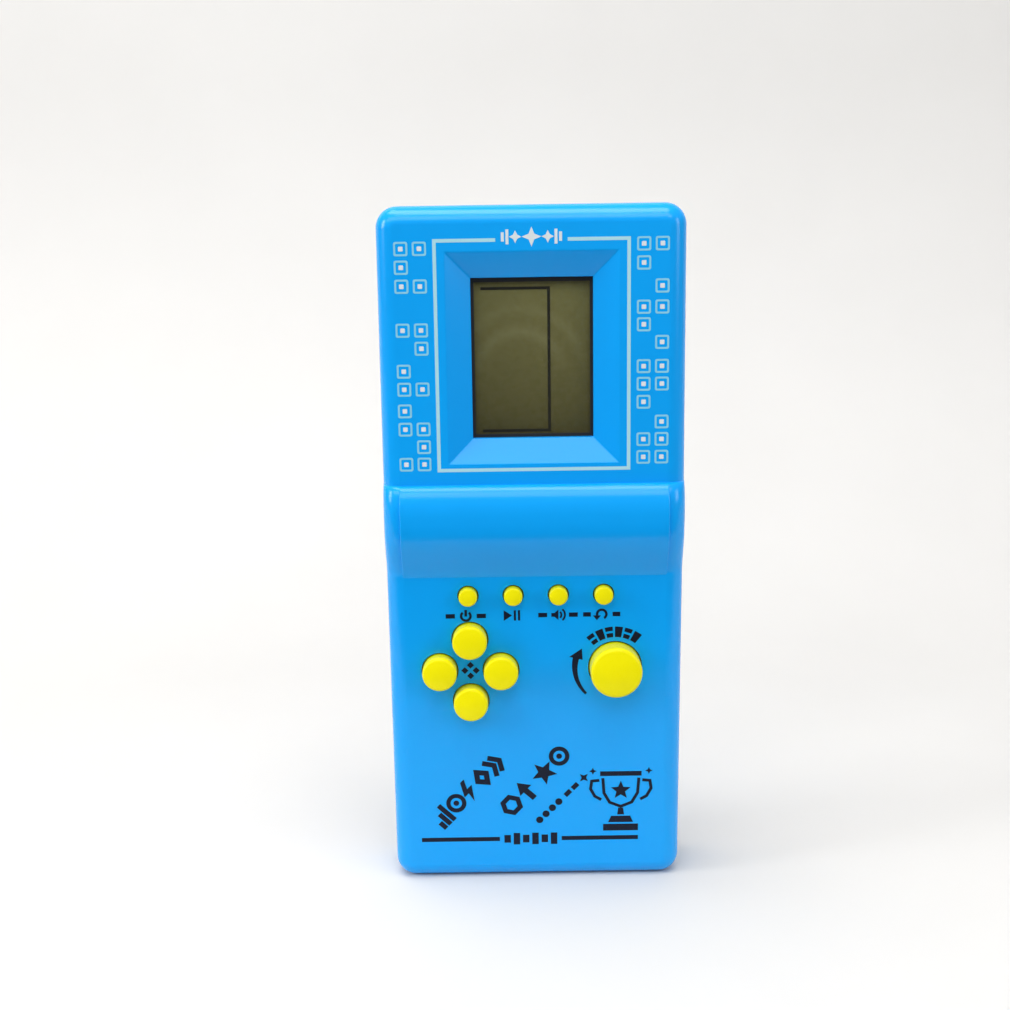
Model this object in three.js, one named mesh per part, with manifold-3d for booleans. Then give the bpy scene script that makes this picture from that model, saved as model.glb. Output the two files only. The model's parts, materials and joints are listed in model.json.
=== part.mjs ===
// Handheld LCD game: two-part moulded case, nine sprung buttons, display, board, cells and screws.
// Millimetres. X is to the right seen from the front, the front faces -Y, +Z runs up the length.
// The origin is the middle of the bottom end, in the middle of the greatest depth.

import * as THREE from 'three';
import { mergeVertices } from 'three/addons/utils/BufferGeometryUtils.js';
import Module from 'manifold-3d';

const wasm = await Module();
wasm.setup();

// Case
const caseWidth = 75;
const caseHeight = 175;
const caseDepth = 30;
const wall = 2;
const gap = 0.3;
const overlap = 0.2;
const cornerRadius = 5.2;
const sideRound = 4.4;
const topRound = 4.6;
const bottomRound = 4.2;
const backRound = 3;
const partingY = 3;

// Front face, as depths along Y
const backY = caseDepth / 2;
const crestY = -caseDepth / 2;
const screenY = -11.5;
const keypadTopY = -9.7;
const keypadBottomY = -5.3;
const rollTopZ = 107.3;
const rollCrestZ = 99.4;
const rollFootZ = 83.5;

// Screen recess, window and display
const windowHalf = 14.9;
const windowBottomZ = 118.5;
const windowTopZ = 157.7;
const recessHalf = 21;
const recessBottomZ = 112.5;
const recessTopZ = 164.1;
const recessDepth = 3.2;
const bezelHalf = 24;
const bezelMargin = 2.4;
const bezelBackY = -6.7;
const lensHalf = 17.6;
const lensThickness = 0.8;
const glassThickness = 0.7;
const reflectorThickness = 0.3;

// Buttons
const buttonGap = 0.35;
const flangeThickness = 0.9;
const plungerEndY = -3;
const padX = -16.7;
const padZ = 58.7;
const padReachX = 7.8;
const padReachZ = 8.3;
const actionX = 20.25;
const actionZ = 59.1;
const smallRowZ = 78.6;
const smallPitch = 11.4;
const smallFirstX = -16.95;

// Board and rubber mat
const boardFrontY = -1.8;
const boardThickness = 1.2;
const boardHalf = 27;
const boardBottomZ = 8;
const boardTopZ = 118;
const matThickness = 0.8;
const matHalf = 26.5;
const matBottomZ = 44;
const matTopZ = 84;

// Battery box: two AA cells side by side, lying across the case
const cellRadius = 7.1;
const cellLength = 50.5;
const cellY = 5.75;
const cellLowZ = 132.4;
const cellHighZ = 147.6;
const boxHalf = 28.5;
const boxBottomZ = 124.8;
const boxTopZ = 155.2;
const boxFrontY = -1.7;
const boxWall = 1.2;
const contactThickness = 0.5;

// Battery door
const doorHalf = 29.7;
const doorBottomZ = 122;
const doorTopZ = 158;
const doorInnerY = 13.15;
const doorPinRadius = 0.6;
const doorPinLength = 0.9;

// Screws
const caseScrewX = 30.6;
const caseScrewZ = [9, 92, 166];
const bossRadius = 3.2;
const wellFloorY = 6.5;
const wellRadius = 2.9;
const boardScrewX = 24.5;
const boardScrewZ = [12, 114];
const boardBossRadius = 2.4;

// Speaker
const speakerRadius = 13.5;
const speakerX = 0;
const speakerZ = 62;

const game = new THREE.Group();

const plastic = { metalness: 0, roughness: 0.25 };
const blue = new THREE.MeshStandardMaterial({ color: 0x0ea6f0, ...plastic });
const yellow = new THREE.MeshStandardMaterial({ color: 0xffe900, ...plastic });
const clear = new THREE.MeshStandardMaterial({ color: 0xdfe6e6, metalness: 0, roughness: 0.05 });
const glass = new THREE.MeshStandardMaterial({ color: 0x6b683e, metalness: 0, roughness: 0.1 });
const foil = new THREE.MeshStandardMaterial({ color: 0x8f9180, metalness: 0.3, roughness: 0.5 });
const holderWhite = new THREE.MeshStandardMaterial({ color: 0xe6e6e0, metalness: 0, roughness: 0.6 });
const rubber = new THREE.MeshStandardMaterial({ color: 0xb9bcc0, metalness: 0, roughness: 0.8 });
const boardGreen = new THREE.MeshStandardMaterial({ color: 0x1f6b35, metalness: 0, roughness: 0.5 });
const black = new THREE.MeshStandardMaterial({ color: 0x141414, metalness: 0, roughness: 0.4 });
const steel = new THREE.MeshStandardMaterial({ color: 0xb8babd, metalness: 1, roughness: 0.3 });
const cellSleeve = new THREE.MeshStandardMaterial({ color: 0x3b3f44, metalness: 0.2, roughness: 0.4 });
const red = new THREE.MeshStandardMaterial({ color: 0xc0241c, metalness: 0, roughness: 0.5 });

// ---------------------------------------------------------------- solids

function toSolid(geometry) {
  const bare = geometry.clone();
  bare.deleteAttribute('normal');
  bare.deleteAttribute('uv');
  const merged = mergeVertices(bare, 1e-4);
  return new wasm.Manifold(new wasm.Mesh({
    numProp: 3,
    vertProperties: new Float32Array(merged.attributes.position.array),
    triVerts: new Uint32Array(merged.index.array),
  }));
}

function toGeometry(solid) {
  const mesh = solid.getMesh();
  const geometry = new THREE.BufferGeometry();
  geometry.setAttribute('position', new THREE.BufferAttribute(mesh.vertProperties, 3));
  geometry.setIndex(new THREE.BufferAttribute(mesh.triVerts, 1));
  geometry.computeVertexNormals();
  return geometry;
}

function joined(base, pieces) {
  return pieces.reduce((sum, piece) => sum.add(toSolid(piece)), base);
}

function without(base, cuts) {
  return cuts.reduce((left, cut) => left.subtract(toSolid(cut)), base);
}

function addPart(name, geometry, material) {
  const mesh = new THREE.Mesh(geometry, material);
  mesh.name = name;
  game.add(mesh);
  return mesh;
}

function box(x0, x1, y0, y1, z0, z1) {
  const geometry = new THREE.BoxGeometry(x1 - x0, y1 - y0, z1 - z0);
  return geometry.translate((x0 + x1) / 2, (y0 + y1) / 2, (z0 + z1) / 2);
}

function rodAlongY(radius, x, z, y0, y1, sides = 16) {
  const geometry = new THREE.CylinderGeometry(radius, radius, y1 - y0, sides);
  return geometry.translate(x, (y0 + y1) / 2, z);
}

function rodAlongX(radius, y, z, x0, x1, sides = 16) {
  const geometry = new THREE.CylinderGeometry(radius, radius, x1 - x0, sides);
  return geometry.rotateZ(Math.PI / 2).translate((x0 + x1) / 2, y, z);
}

// A flat plate in the X-Z plane with rounded corners, from y0 to y1.
function roundedPlate(x0, x1, z0, z1, y0, y1, radius) {
  const quarter = Math.PI / 2;
  const outline = new THREE.Shape();
  outline.absarc(x1 - radius, z1 - radius, radius, 0, quarter);
  outline.absarc(x0 + radius, z1 - radius, radius, quarter, 2 * quarter);
  outline.absarc(x0 + radius, z0 + radius, radius, 2 * quarter, 3 * quarter);
  outline.absarc(x1 - radius, z0 + radius, radius, 3 * quarter, 4 * quarter);
  outline.closePath();
  const depth = y1 - y0;
  const geometry = new THREE.ExtrudeGeometry(outline, { depth, bevelEnabled: false, curveSegments: 4 });
  return geometry.rotateX(Math.PI / 2).translate(0, y1, 0);
}

// Turned about Y: points are [radius, y] from the front to the back.
function turned(points, x, z, sides) {
  const profile = points.map(([radius, y]) => new THREE.Vector2(radius, y));
  return new THREE.LatheGeometry(profile, sides).translate(x, 0, z);
}

// A closed body through rings of points, each ring anticlockwise seen from +Z and convex.
function lofted(levels, ringAt) {
  const rings = levels.map((z) => ringAt(z).map(([x, y]) => [x, y, z]));
  const count = rings[0].length;
  const triangles = [];
  for (let level = 0; level + 1 < rings.length; level += 1) {
    for (let i = 0; i < count; i += 1) {
      const next = (i + 1) % count;
      const a = level * count + i;
      const b = level * count + next;
      triangles.push(a, b, b + count, a, b + count, a + count);
    }
  }
  const top = (rings.length - 1) * count;
  for (let i = 1; i + 1 < count; i += 1) {
    triangles.push(0, i + 1, i, top, top + i, top + i + 1);
  }
  const geometry = new THREE.BufferGeometry();
  geometry.setAttribute('position', new THREE.Float32BufferAttribute(rings.flat(2), 3));
  geometry.setIndex(triangles);
  geometry.computeVertexNormals();
  return geometry;
}

// ---------------------------------------------------------------- case outline

// How far a rounded end has drawn in, at a distance from that end.
function endRound(distance, radius) {
  if (distance >= radius) {
    return 0;
  }
  return radius - Math.sqrt(radius ** 2 - (radius - distance) ** 2);
}

function faceY(z) {
  if (z >= rollTopZ) {
    return screenY;
  }
  if (z >= rollCrestZ) {
    const along = (z - rollCrestZ) / (rollTopZ - rollCrestZ);
    return screenY + (crestY - screenY) * Math.sqrt(1 - along ** 2);
  }
  if (z >= rollFootZ) {
    const along = (rollCrestZ - z) / (rollCrestZ - rollFootZ);
    const fall = (1 - Math.cos(Math.PI * along ** 1.3)) / 2;
    return crestY + (keypadTopY - crestY) * fall;
  }
  return keypadBottomY + (keypadTopY - keypadBottomY) * z / rollFootZ;
}

function halfWidthAt(z, inset) {
  const fromEnd = Math.min(z, caseHeight - z) - inset;
  return caseWidth / 2 - inset - endRound(fromEnd, cornerRadius - inset);
}

function frontYAt(z, inset) {
  const bottom = endRound(z - inset, Math.max(bottomRound - inset, 0.2));
  const top = endRound(caseHeight - z - inset, topRound - inset);
  return faceY(z) + inset + Math.max(bottom, top);
}

function backYAt(z, inset) {
  const fromEnd = Math.min(z, caseHeight - z) - inset;
  return backY - inset - endRound(fromEnd, backRound - inset);
}

const roundSteps = 5;

function corner(x, y, radius, from) {
  const points = [];
  for (let step = 0; step <= roundSteps; step += 1) {
    const angle = from + Math.PI / 2 * step / roundSteps;
    points.push([x + radius * Math.cos(angle), y + radius * Math.sin(angle)]);
  }
  return points;
}

function frontRing(inset, backEdge) {
  return (z) => {
    const half = halfWidthAt(z, inset);
    const front = frontYAt(z, inset);
    const radius = sideRound - inset;
    return [
      [-half, backEdge],
      ...corner(-half + radius, front + radius, radius, Math.PI),
      ...corner(half - radius, front + radius, radius, 1.5 * Math.PI),
      [half, backEdge],
    ];
  };
}

function backRing(inset, frontEdge) {
  return (z) => {
    const half = halfWidthAt(z, inset);
    const back = backYAt(z, inset);
    const radius = backRound - inset;
    return [
      [half, frontEdge],
      ...corner(half - radius, back - radius, radius, 0),
      ...corner(-half + radius, back - radius, radius, Math.PI / 2),
      [-half, frontEdge],
    ];
  };
}

// Levels of the loft: close together at the rounded ends and over the roll.
function endLevels(inset, radius) {
  const steps = [0, 0.06, 0.22, 0.45, 0.72, 1];
  const low = steps.map((step) => inset + (radius - inset) * step);
  return [low, low.map((z) => caseHeight - z).reverse()];
}

function rollLevels() {
  const upper = [0, 0.15, 0.4, 0.7, 1].map((step) => rollTopZ - (rollTopZ - rollCrestZ) * step ** 2);
  const lower = [1, 2, 3, 4, 5, 6, 7, 8].map((step) => rollCrestZ - (rollCrestZ - rollFootZ) * step / 8);
  return [...upper, ...lower].reverse();
}

function caseLevels(inset, withRoll) {
  const [low, high] = endLevels(inset, cornerRadius);
  return withRoll ? [...low, ...rollLevels(), ...high] : [...low, ...high];
}

// ---------------------------------------------------------------- buttons

function smallButtonX(index) {
  return smallFirstX + index * smallPitch;
}

const buttons = [
  { name: 'power', x: smallButtonX(0), z: smallRowZ, radius: 2.35, flange: 3.7, proud: 2.5, foot: 1.6 },
  { name: 'pause', x: smallButtonX(1), z: smallRowZ, radius: 2.35, flange: 3.7, proud: 2.5, foot: 1.6 },
  { name: 'sound', x: smallButtonX(2), z: smallRowZ, radius: 2.35, flange: 3.7, proud: 2.5, foot: 1.6 },
  { name: 'reset', x: smallButtonX(3), z: smallRowZ, radius: 2.35, flange: 3.7, proud: 2.5, foot: 1.6 },
  { name: 'up', x: padX, z: padZ + padReachZ, radius: 4.4, flange: 5.4, proud: 4.3, foot: 2.6 },
  { name: 'down', x: padX, z: padZ - padReachZ, radius: 4.4, flange: 5.4, proud: 4.3, foot: 2.6 },
  { name: 'left', x: padX - padReachX, z: padZ, radius: 4.4, flange: 5.4, proud: 4.3, foot: 2.6 },
  { name: 'right', x: padX + padReachX, z: padZ, radius: 4.4, flange: 5.4, proud: 4.3, foot: 2.6 },
  { name: 'action', x: actionX, z: actionZ, radius: 6.55, flange: 8.2, proud: 6.4, foot: 3.6 },
];

function flangeFrontY(button) {
  return faceY(button.z - button.flange) + wall + gap;
}

// A domed cap on a flange that keeps it in the case.
function makeButton(button) {
  const { radius, flange } = button;
  const capY = faceY(button.z) - button.proud;
  const flangeY = flangeFrontY(button);
  const edge = Math.min(0.9, radius * 0.25);
  const rise = radius * 0.05;
  const rounded = [0, 0.5, 1].map((step) => {
    const angle = step * Math.PI / 2;
    const across = radius - edge + edge * Math.sin(angle);
    return [across, capY + rise + edge - edge * Math.cos(angle)];
  });
  return turned([
    [0, capY],
    ...rounded,
    [radius, flangeY],
    [flange, flangeY],
    [flange, flangeY + flangeThickness],
    [0, flangeY + flangeThickness],
  ], button.x, button.z, radius > 3 ? 24 : 16);
}

function makePlunger(button) {
  const topY = flangeFrontY(button) + flangeThickness + gap;
  return rodAlongY(button.foot, button.x, button.z, topY, plungerEndY, 12);
}

// ---------------------------------------------------------------- case parts

const caseScrewPlaces = [];
for (const z of caseScrewZ) {
  caseScrewPlaces.push([-caseScrewX, z], [caseScrewX, z]);
}
const boardScrewPlaces = [];
for (const z of boardScrewZ) {
  boardScrewPlaces.push([-boardScrewX, z], [boardScrewX, z]);
}

// The sloping sides of the screen recess, a block that narrows towards the display.
function recessCut() {
  const geometry = box(-1, 1, screenY, screenY + recessDepth, -1, 1);
  const position = geometry.attributes.position;
  for (let i = 0; i < position.count; i += 1) {
    const inner = position.getY(i) > screenY + recessDepth / 2;
    const half = inner ? windowHalf : recessHalf;
    const low = inner ? windowBottomZ : recessBottomZ;
    const high = inner ? windowTopZ : recessTopZ;
    position.setX(i, Math.sign(position.getX(i)) * half);
    position.setZ(i, position.getZ(i) > 0 ? high : low);
  }
  return geometry;
}

function makeFrontShell() {
  const edge = partingY - gap / 2;
  const outer = toSolid(lofted(caseLevels(0, true), frontRing(0, edge)));
  const inner = toSolid(lofted(caseLevels(wall, true), frontRing(wall, edge + 1)));
  const bezel = box(
    -bezelHalf, bezelHalf, screenY + wall - overlap, bezelBackY,
    recessBottomZ - bezelMargin, recessTopZ + bezelMargin,
  );
  const caseBosses = caseScrewPlaces.map(([x, z]) => rodAlongY(bossRadius, x, z, -20, edge));
  const boardBosses = boardScrewPlaces.map(([x, z]) => {
    return rodAlongY(boardBossRadius, x, z, -20, boardFrontY - gap, 12);
  });
  const filled = joined(outer.subtract(inner), [bezel, ...caseBosses, ...boardBosses]);
  const cuts = [
    recessCut().translate(0, -1e-3, 0),
    box(-windowHalf, windowHalf, screenY, 0, windowBottomZ, windowTopZ),
    ...caseScrewPlaces.map(([x, z]) => rodAlongY(1.6, x, z, -3.1, edge + 1, 12)),
    ...boardScrewPlaces.map(([x, z]) => rodAlongY(1.3, x, z, z > 50 ? -6 : -3.6, 0, 12)),
    ...buttons.map((button) => {
      return rodAlongY(button.radius + buttonGap, button.x, button.z, -20, -4, 24);
    }),
  ];
  return toGeometry(without(filled.intersect(outer), cuts));
}

function makeRearShell() {
  const edge = partingY + gap / 2;
  const outer = toSolid(lofted(caseLevels(0, false), backRing(0, edge)));
  const inner = toSolid(lofted(caseLevels(wall, false), backRing(wall, edge - 1)));
  const lipOut = wall + gap;
  const lipIn = lipOut + 0.8;
  const lipRadius = cornerRadius - lipOut;
  const lipFront = edge - 2;
  const half = caseWidth / 2;
  const doorRim = boxHalf + 3;
  const lip = toSolid(roundedPlate(
    -half + lipOut, half - lipOut, lipOut, caseHeight - lipOut, lipFront, edge + 2, lipRadius,
  )).subtract(toSolid(roundedPlate(
    -half + lipIn, half - lipIn, lipIn, caseHeight - lipIn, lipFront - 1, edge + 3, lipRadius - 0.8,
  )));
  const step = toSolid(roundedPlate(
    -half + wall - 0.3, half - wall + 0.3, wall - 0.3, caseHeight - wall + 0.3, edge, edge + 2, lipRadius,
  )).subtract(toSolid(roundedPlate(
    -half + lipIn, half - lipIn, lipIn, caseHeight - lipIn, edge - 1, edge + 3, lipRadius - 0.8,
  )));
  const additions = [
    box(
      -boxHalf - boxWall, boxHalf + boxWall, boxFrontY - 1, backY - wall + overlap,
      boxBottomZ - boxWall, boxTopZ + boxWall,
    ),
    box(-doorRim, doorRim, 11.2, backY - wall + overlap, doorBottomZ - 1.8, doorTopZ + 1.8),
    rodAlongY(speakerRadius + 1.5, speakerX, speakerZ, 8, backY - wall + overlap, 24),
    ...caseScrewPlaces.map(([x, z]) => rodAlongY(bossRadius, x, z, edge, backY - wall + overlap)),
  ];
  const slots = [-2, -1, 0, 1, 2].map((row) => {
    const z = speakerZ + row * 3.2;
    const reach = 9.5 - Math.abs(row) * 1.6;
    return roundedPlate(-reach, reach, z - 0.7, z + 0.7, 8, backY + 1, 0.65);
  });
  const pocketHalf = doorHalf + gap;
  const pinZ = doorBottomZ + (backY - doorInnerY) / 2;
  const pinY = (backY + doorInnerY) / 2;
  const cuts = [
    box(-boxHalf, boxHalf, boxFrontY, backY + 1, boxBottomZ, boxTopZ),
    box(-pocketHalf, pocketHalf, doorInnerY - gap, backY + 1, doorBottomZ - gap, doorTopZ + gap),
    rodAlongX(doorPinRadius + gap, pinY, pinZ, -pocketHalf - 1, pocketHalf + 1, 12),
    roundedPlate(-6, 6, doorTopZ - 1, doorTopZ + 3.2, backY - 1.1, backY + 1, 2),
    rodAlongY(speakerRadius + gap, speakerX, speakerZ, 7, backY - wall, 24),
    ...slots,
    ...caseScrewPlaces.map(([x, z]) => rodAlongY(wellRadius, x, z, wellFloorY, backY + 1)),
    ...caseScrewPlaces.map(([x, z]) => rodAlongY(1.6, x, z, edge - 1, wellFloorY + 1, 12)),
    ...[cellLowZ, cellHighZ].map((z) => box(-boxHalf - 2, -boxHalf + 1, 3.7, 6.3, z - 1.8, z + 1.8)),
  ];
  const filled = joined(outer.subtract(inner), additions).add(lip).add(step);
  return toGeometry(without(filled, cuts));
}

function makeBatteryDoor() {
  const thickness = backY - doorInnerY;
  const pinY = doorInnerY + thickness / 2;
  const pinZ = doorBottomZ + thickness / 2;
  const plate = toSolid(box(-doorHalf, doorHalf, doorInnerY, backY, pinZ, doorTopZ));
  const pieces = [
    rodAlongX(thickness / 2, pinY, pinZ, -doorHalf, doorHalf, 16),
    rodAlongX(doorPinRadius, pinY, pinZ, -doorHalf - doorPinLength, doorHalf + doorPinLength, 12),
  ];
  const grip = [-1, 0, 1].map((row) => box(-7, 7, backY - 0.5, backY + 1, 151 + row * 2, 152 + row * 2));
  return toGeometry(without(joined(plate, pieces), grip));
}

// ---------------------------------------------------------------- display

const lensFrontY = bezelBackY + gap;
const frontGlassY = lensFrontY + lensThickness + gap;
const rearGlassY = frontGlassY + glassThickness + gap;
const reflectorY = rearGlassY + glassThickness + gap;

const displayTopZ = windowTopZ + 3;
const connectorBottomZ = windowBottomZ - 6;
const holderWall = 3.4;
const holderBackY = -3;

// One layer of the display, behind the window and a little larger than it.
function displayLayer(frontY, thickness, bottomZ) {
  return box(-lensHalf, lensHalf, frontY, frontY + thickness, bottomZ, displayTopZ);
}

function makeLcdHolder() {
  const half = lensHalf + 2 * gap;
  const bottom = connectorBottomZ - 2 * gap;
  const top = displayTopZ + 2 * gap;
  const outerHalf = half + holderWall;
  const frame = toSolid(roundedPlate(
    -outerHalf, outerHalf, bottom - holderWall, top + holderWall, lensFrontY, holderBackY, 1,
  ));
  return toGeometry(frame.subtract(toSolid(box(-half, half, lensFrontY - 1, holderBackY + 1, bottom, top))));
}

// The rubber strip that joins the lower edge of the rear glass to the board.
function makeConnector() {
  const half = lensHalf - 1.6;
  return box(-half, half, reflectorY, boardFrontY - gap, connectorBottomZ + gap, connectorBottomZ + 3.4);
}

// ---------------------------------------------------------------- board, mat and what sits on them

function makeBoard() {
  const back = boardFrontY + boardThickness;
  const plate = toSolid(box(-boardHalf, boardHalf, boardFrontY, back, boardBottomZ, boardTopZ));
  const holes = boardScrewPlaces.map(([x, z]) => rodAlongY(1.3, x, z, boardFrontY - 1, back + 1, 12));
  return toGeometry(without(plate, holes));
}

function makeMat() {
  const backFace = boardFrontY - gap;
  const front = backFace - matThickness;
  const plate = toSolid(box(-matHalf, matHalf, front, backFace, matBottomZ, matTopZ));
  const holes = buttons.map((button) => {
    return rodAlongY(button.foot + 0.6, button.x, button.z, front - 1, backFace + 1, 12);
  });
  return toGeometry(without(plate, holes));
}

function makeSpeaker() {
  const front = 8.6;
  const face = backY - wall - gap;
  return turned([
    [0, face - 1.2],
    [speakerRadius - 2.5, face],
    [speakerRadius, face],
    [speakerRadius, face - 2.4],
    [8.5, face - 2.4],
    [8.5, front - 3.2],
    [0, front - 3.2],
  ].reverse(), speakerX, speakerZ, 24);
}

function makeChipBlob() {
  const base = boardFrontY + boardThickness + gap;
  return turned([[0, base], [7.5, base], [6.2, base + 1.2], [3.4, base + 1.9], [0, base + 2.1]], 0, 100, 16);
}

function makeCapacitor() {
  const y = boardFrontY + boardThickness + gap + 2.5;
  return rodAlongX(2.5, y, 110, 11, 19, 14);
}

// A round lead along a smooth curve through its points.
function makeWire(points) {
  const path = new THREE.CatmullRomCurve3(points.map(([x, y, z]) => new THREE.Vector3(x, y, z)));
  const section = new THREE.Shape();
  section.absarc(0, 0, 0.6, 0, 2 * Math.PI);
  return new THREE.ExtrudeGeometry(section, { steps: 16, curveSegments: 4, extrudePath: path });
}

// ---------------------------------------------------------------- power

// A cell lying along X with its raised contact at +X, or at -X when turned round.
function makeCell(z, direction) {
  const tip = boxHalf - 2 * gap - contactThickness;
  const shoulder = tip - 1;
  const tail = tip - cellLength;
  const profile = [
    [0, tail], [cellRadius - 0.6, tail], [cellRadius, tail + 0.6], [cellRadius, shoulder - 0.6],
    [cellRadius - 0.6, shoulder], [2.75, shoulder], [2.75, tip], [0, tip],
  ].map(([radius, along]) => new THREE.Vector2(radius, along));
  const geometry = new THREE.LatheGeometry(profile, 20).rotateZ(-Math.PI / 2);
  if (direction < 0) {
    geometry.rotateZ(Math.PI);
  }
  return geometry.translate(0, cellY, z);
}

// A conical coil from the contact plate to the flat end of the cell.
class CoilCurve extends THREE.Curve {
  constructor(start, end, z) {
    super();
    this.start = start;
    this.end = end;
    this.z = z;
  }

  getPoint(t, target = new THREE.Vector3()) {
    const angle = 2 * Math.PI * 3 * t;
    const radius = 5 - 2.4 * t;
    const x = this.start + (this.end - this.start) * t;
    return target.set(x, cellY + radius * Math.cos(angle), this.z + radius * Math.sin(angle));
  }
}

function makeSpring(z, direction) {
  const wire = 0.3;
  const plateFace = boxHalf - gap - contactThickness;
  const tail = cellLength - (boxHalf - 2 * gap - contactThickness);
  const start = direction * (plateFace - gap - wire);
  const end = direction * (tail + gap + wire);
  const section = new THREE.Shape();
  section.absarc(0, 0, wire, 0, 2 * Math.PI);
  const extrudePath = new CoilCurve(start, end, z);
  return new THREE.ExtrudeGeometry(section, { steps: 42, curveSegments: 3, extrudePath });
}

// A contact plate against one end wall, with a tab through the wall when it has a lead.
function makeContact(z0, z1, side, tabZ) {
  const near = boxHalf - gap - contactThickness;
  const far = boxHalf - gap;
  const [x0, x1] = side > 0 ? [near, far] : [-far, -near];
  const plate = toSolid(box(x0, x1, cellY - 6, cellY + 6, z0, z1));
  if (tabZ === undefined) {
    return toGeometry(plate);
  }
  return toGeometry(plate.add(toSolid(box(-boxHalf - 2.2, x1, 4.7, 5.3, tabZ - 1.4, tabZ + 1.4))));
}

// ---------------------------------------------------------------- screws

function makeCaseScrew(x, z) {
  const seat = wellFloorY + gap;
  return turned([
    [0, -2.6], [1.2, -2.2], [1.2, seat], [2.5, seat], [2.5, seat + 1], [1.9, seat + 1.7], [0, seat + 1.9],
  ], x, z, 14);
}

function makeBoardScrew(x, z) {
  const seat = boardFrontY + boardThickness + gap;
  return turned([
    [0, -3.3], [0.95, -3.1], [0.95, seat], [2, seat], [2, seat + 0.8], [1.4, seat + 1.3], [0, seat + 1.4],
  ], x, z, 12);
}

// ---------------------------------------------------------------- assembly

addPart('front_shell', makeFrontShell(), blue);
addPart('rear_shell', makeRearShell(), blue);
addPart('battery_door', makeBatteryDoor(), blue);

addPart('screen_lens', displayLayer(lensFrontY, lensThickness, windowBottomZ - 3), clear);
addPart('lcd_front_glass', displayLayer(frontGlassY, glassThickness, windowBottomZ - 2), glass);
addPart('lcd_rear_glass', displayLayer(rearGlassY, glassThickness, connectorBottomZ), glass);
addPart('lcd_reflector', displayLayer(reflectorY, reflectorThickness, windowBottomZ - 1.6), foil);
addPart('lcd_holder', makeLcdHolder(), holderWhite);
addPart('zebra_strip', makeConnector(), rubber);

addPart('main_board', makeBoard(), boardGreen);
addPart('chip_blob', makeChipBlob(), black);
addPart('capacitor', makeCapacitor(), black);
addPart('speaker', makeSpeaker(), steel);
addPart('keypad_mat', makeMat(), rubber);

for (const button of buttons) {
  addPart(`button_${button.name}`, makeButton(button), yellow);
  addPart(`plunger_${button.name}`, makePlunger(button), rubber);
}

addPart('cell_a', makeCell(cellHighZ, -1), cellSleeve);
addPart('cell_b', makeCell(cellLowZ, 1), cellSleeve);
addPart('contact_plus', makeContact(cellHighZ - 6.8, cellHighZ + 6.8, -1, cellHighZ), steel);
addPart('contact_minus', makeContact(cellLowZ - 6.8, cellLowZ + 6.8, -1, cellLowZ), steel);
addPart('contact_bridge', makeContact(cellLowZ - 6.8, cellHighZ + 6.8, 1), steel);
addPart('spring_a', makeSpring(cellHighZ, 1), steel);
addPart('spring_b', makeSpring(cellLowZ, -1), steel);

caseScrewPlaces.forEach(([x, z], index) => addPart(`case_screw_${index + 1}`, makeCaseScrew(x, z), steel));
boardScrewPlaces.forEach(([x, z], index) => addPart(`board_screw_${index + 1}`, makeBoardScrew(x, z), steel));

addPart('wire_plus', makeWire([
  [-31.6, 5, 147.6], [-32.6, 4.6, 144], [-32.8, 4, 128], [-31, 3, 116], [-26, 2.4, 110.5], [-22, 0.4, 109],
]), red);
addPart('wire_minus', makeWire([
  [-31.6, 5, 132.4], [-32.4, 6, 129], [-31.4, 5.6, 118], [-26, 4.4, 108], [-20, 2.6, 105], [-17, 0.4, 105],
]), black);
addPart('wire_speaker_a', makeWire([
  [6, 9, 46], [8, 6.4, 42.5], [9, 3, 41.5], [10, 0.4, 42],
]), red);
addPart('wire_speaker_b', makeWire([
  [-6, 9, 46], [-8, 6.4, 42.5], [-9, 3, 41.5], [-10, 0.4, 42],
]), black);

export default game;
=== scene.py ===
import json
import math

import bmesh
import bpy
from mathutils import Matrix, Vector


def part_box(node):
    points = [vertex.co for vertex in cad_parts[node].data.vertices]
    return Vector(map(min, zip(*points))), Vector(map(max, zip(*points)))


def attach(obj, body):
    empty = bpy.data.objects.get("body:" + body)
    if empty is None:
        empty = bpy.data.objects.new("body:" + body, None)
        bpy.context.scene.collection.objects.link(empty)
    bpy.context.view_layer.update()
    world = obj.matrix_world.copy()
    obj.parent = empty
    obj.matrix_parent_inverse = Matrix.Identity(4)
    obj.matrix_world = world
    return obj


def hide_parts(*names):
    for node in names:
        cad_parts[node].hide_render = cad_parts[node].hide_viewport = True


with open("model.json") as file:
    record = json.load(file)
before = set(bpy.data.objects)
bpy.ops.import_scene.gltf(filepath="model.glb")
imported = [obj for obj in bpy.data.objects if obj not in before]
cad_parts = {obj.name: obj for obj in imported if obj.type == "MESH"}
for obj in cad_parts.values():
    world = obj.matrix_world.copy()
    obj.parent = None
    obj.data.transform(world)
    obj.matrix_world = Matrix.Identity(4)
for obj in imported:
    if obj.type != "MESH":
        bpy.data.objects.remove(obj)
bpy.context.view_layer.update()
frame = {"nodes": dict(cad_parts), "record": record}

mm = 0.001
print("frame loaded:", len(frame["nodes"]), "nodes")

# The camera stands a little above the game and looks slightly down at it.
cameraSetup = dict(
    place=(-6.66, -351.95, 169.9),   # mm
    lens=50,
    sensor=36,
    tilt=11.24,                      # degrees below the horizon
    turn=-0.10,
    roll=-0.855,
)


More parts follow.
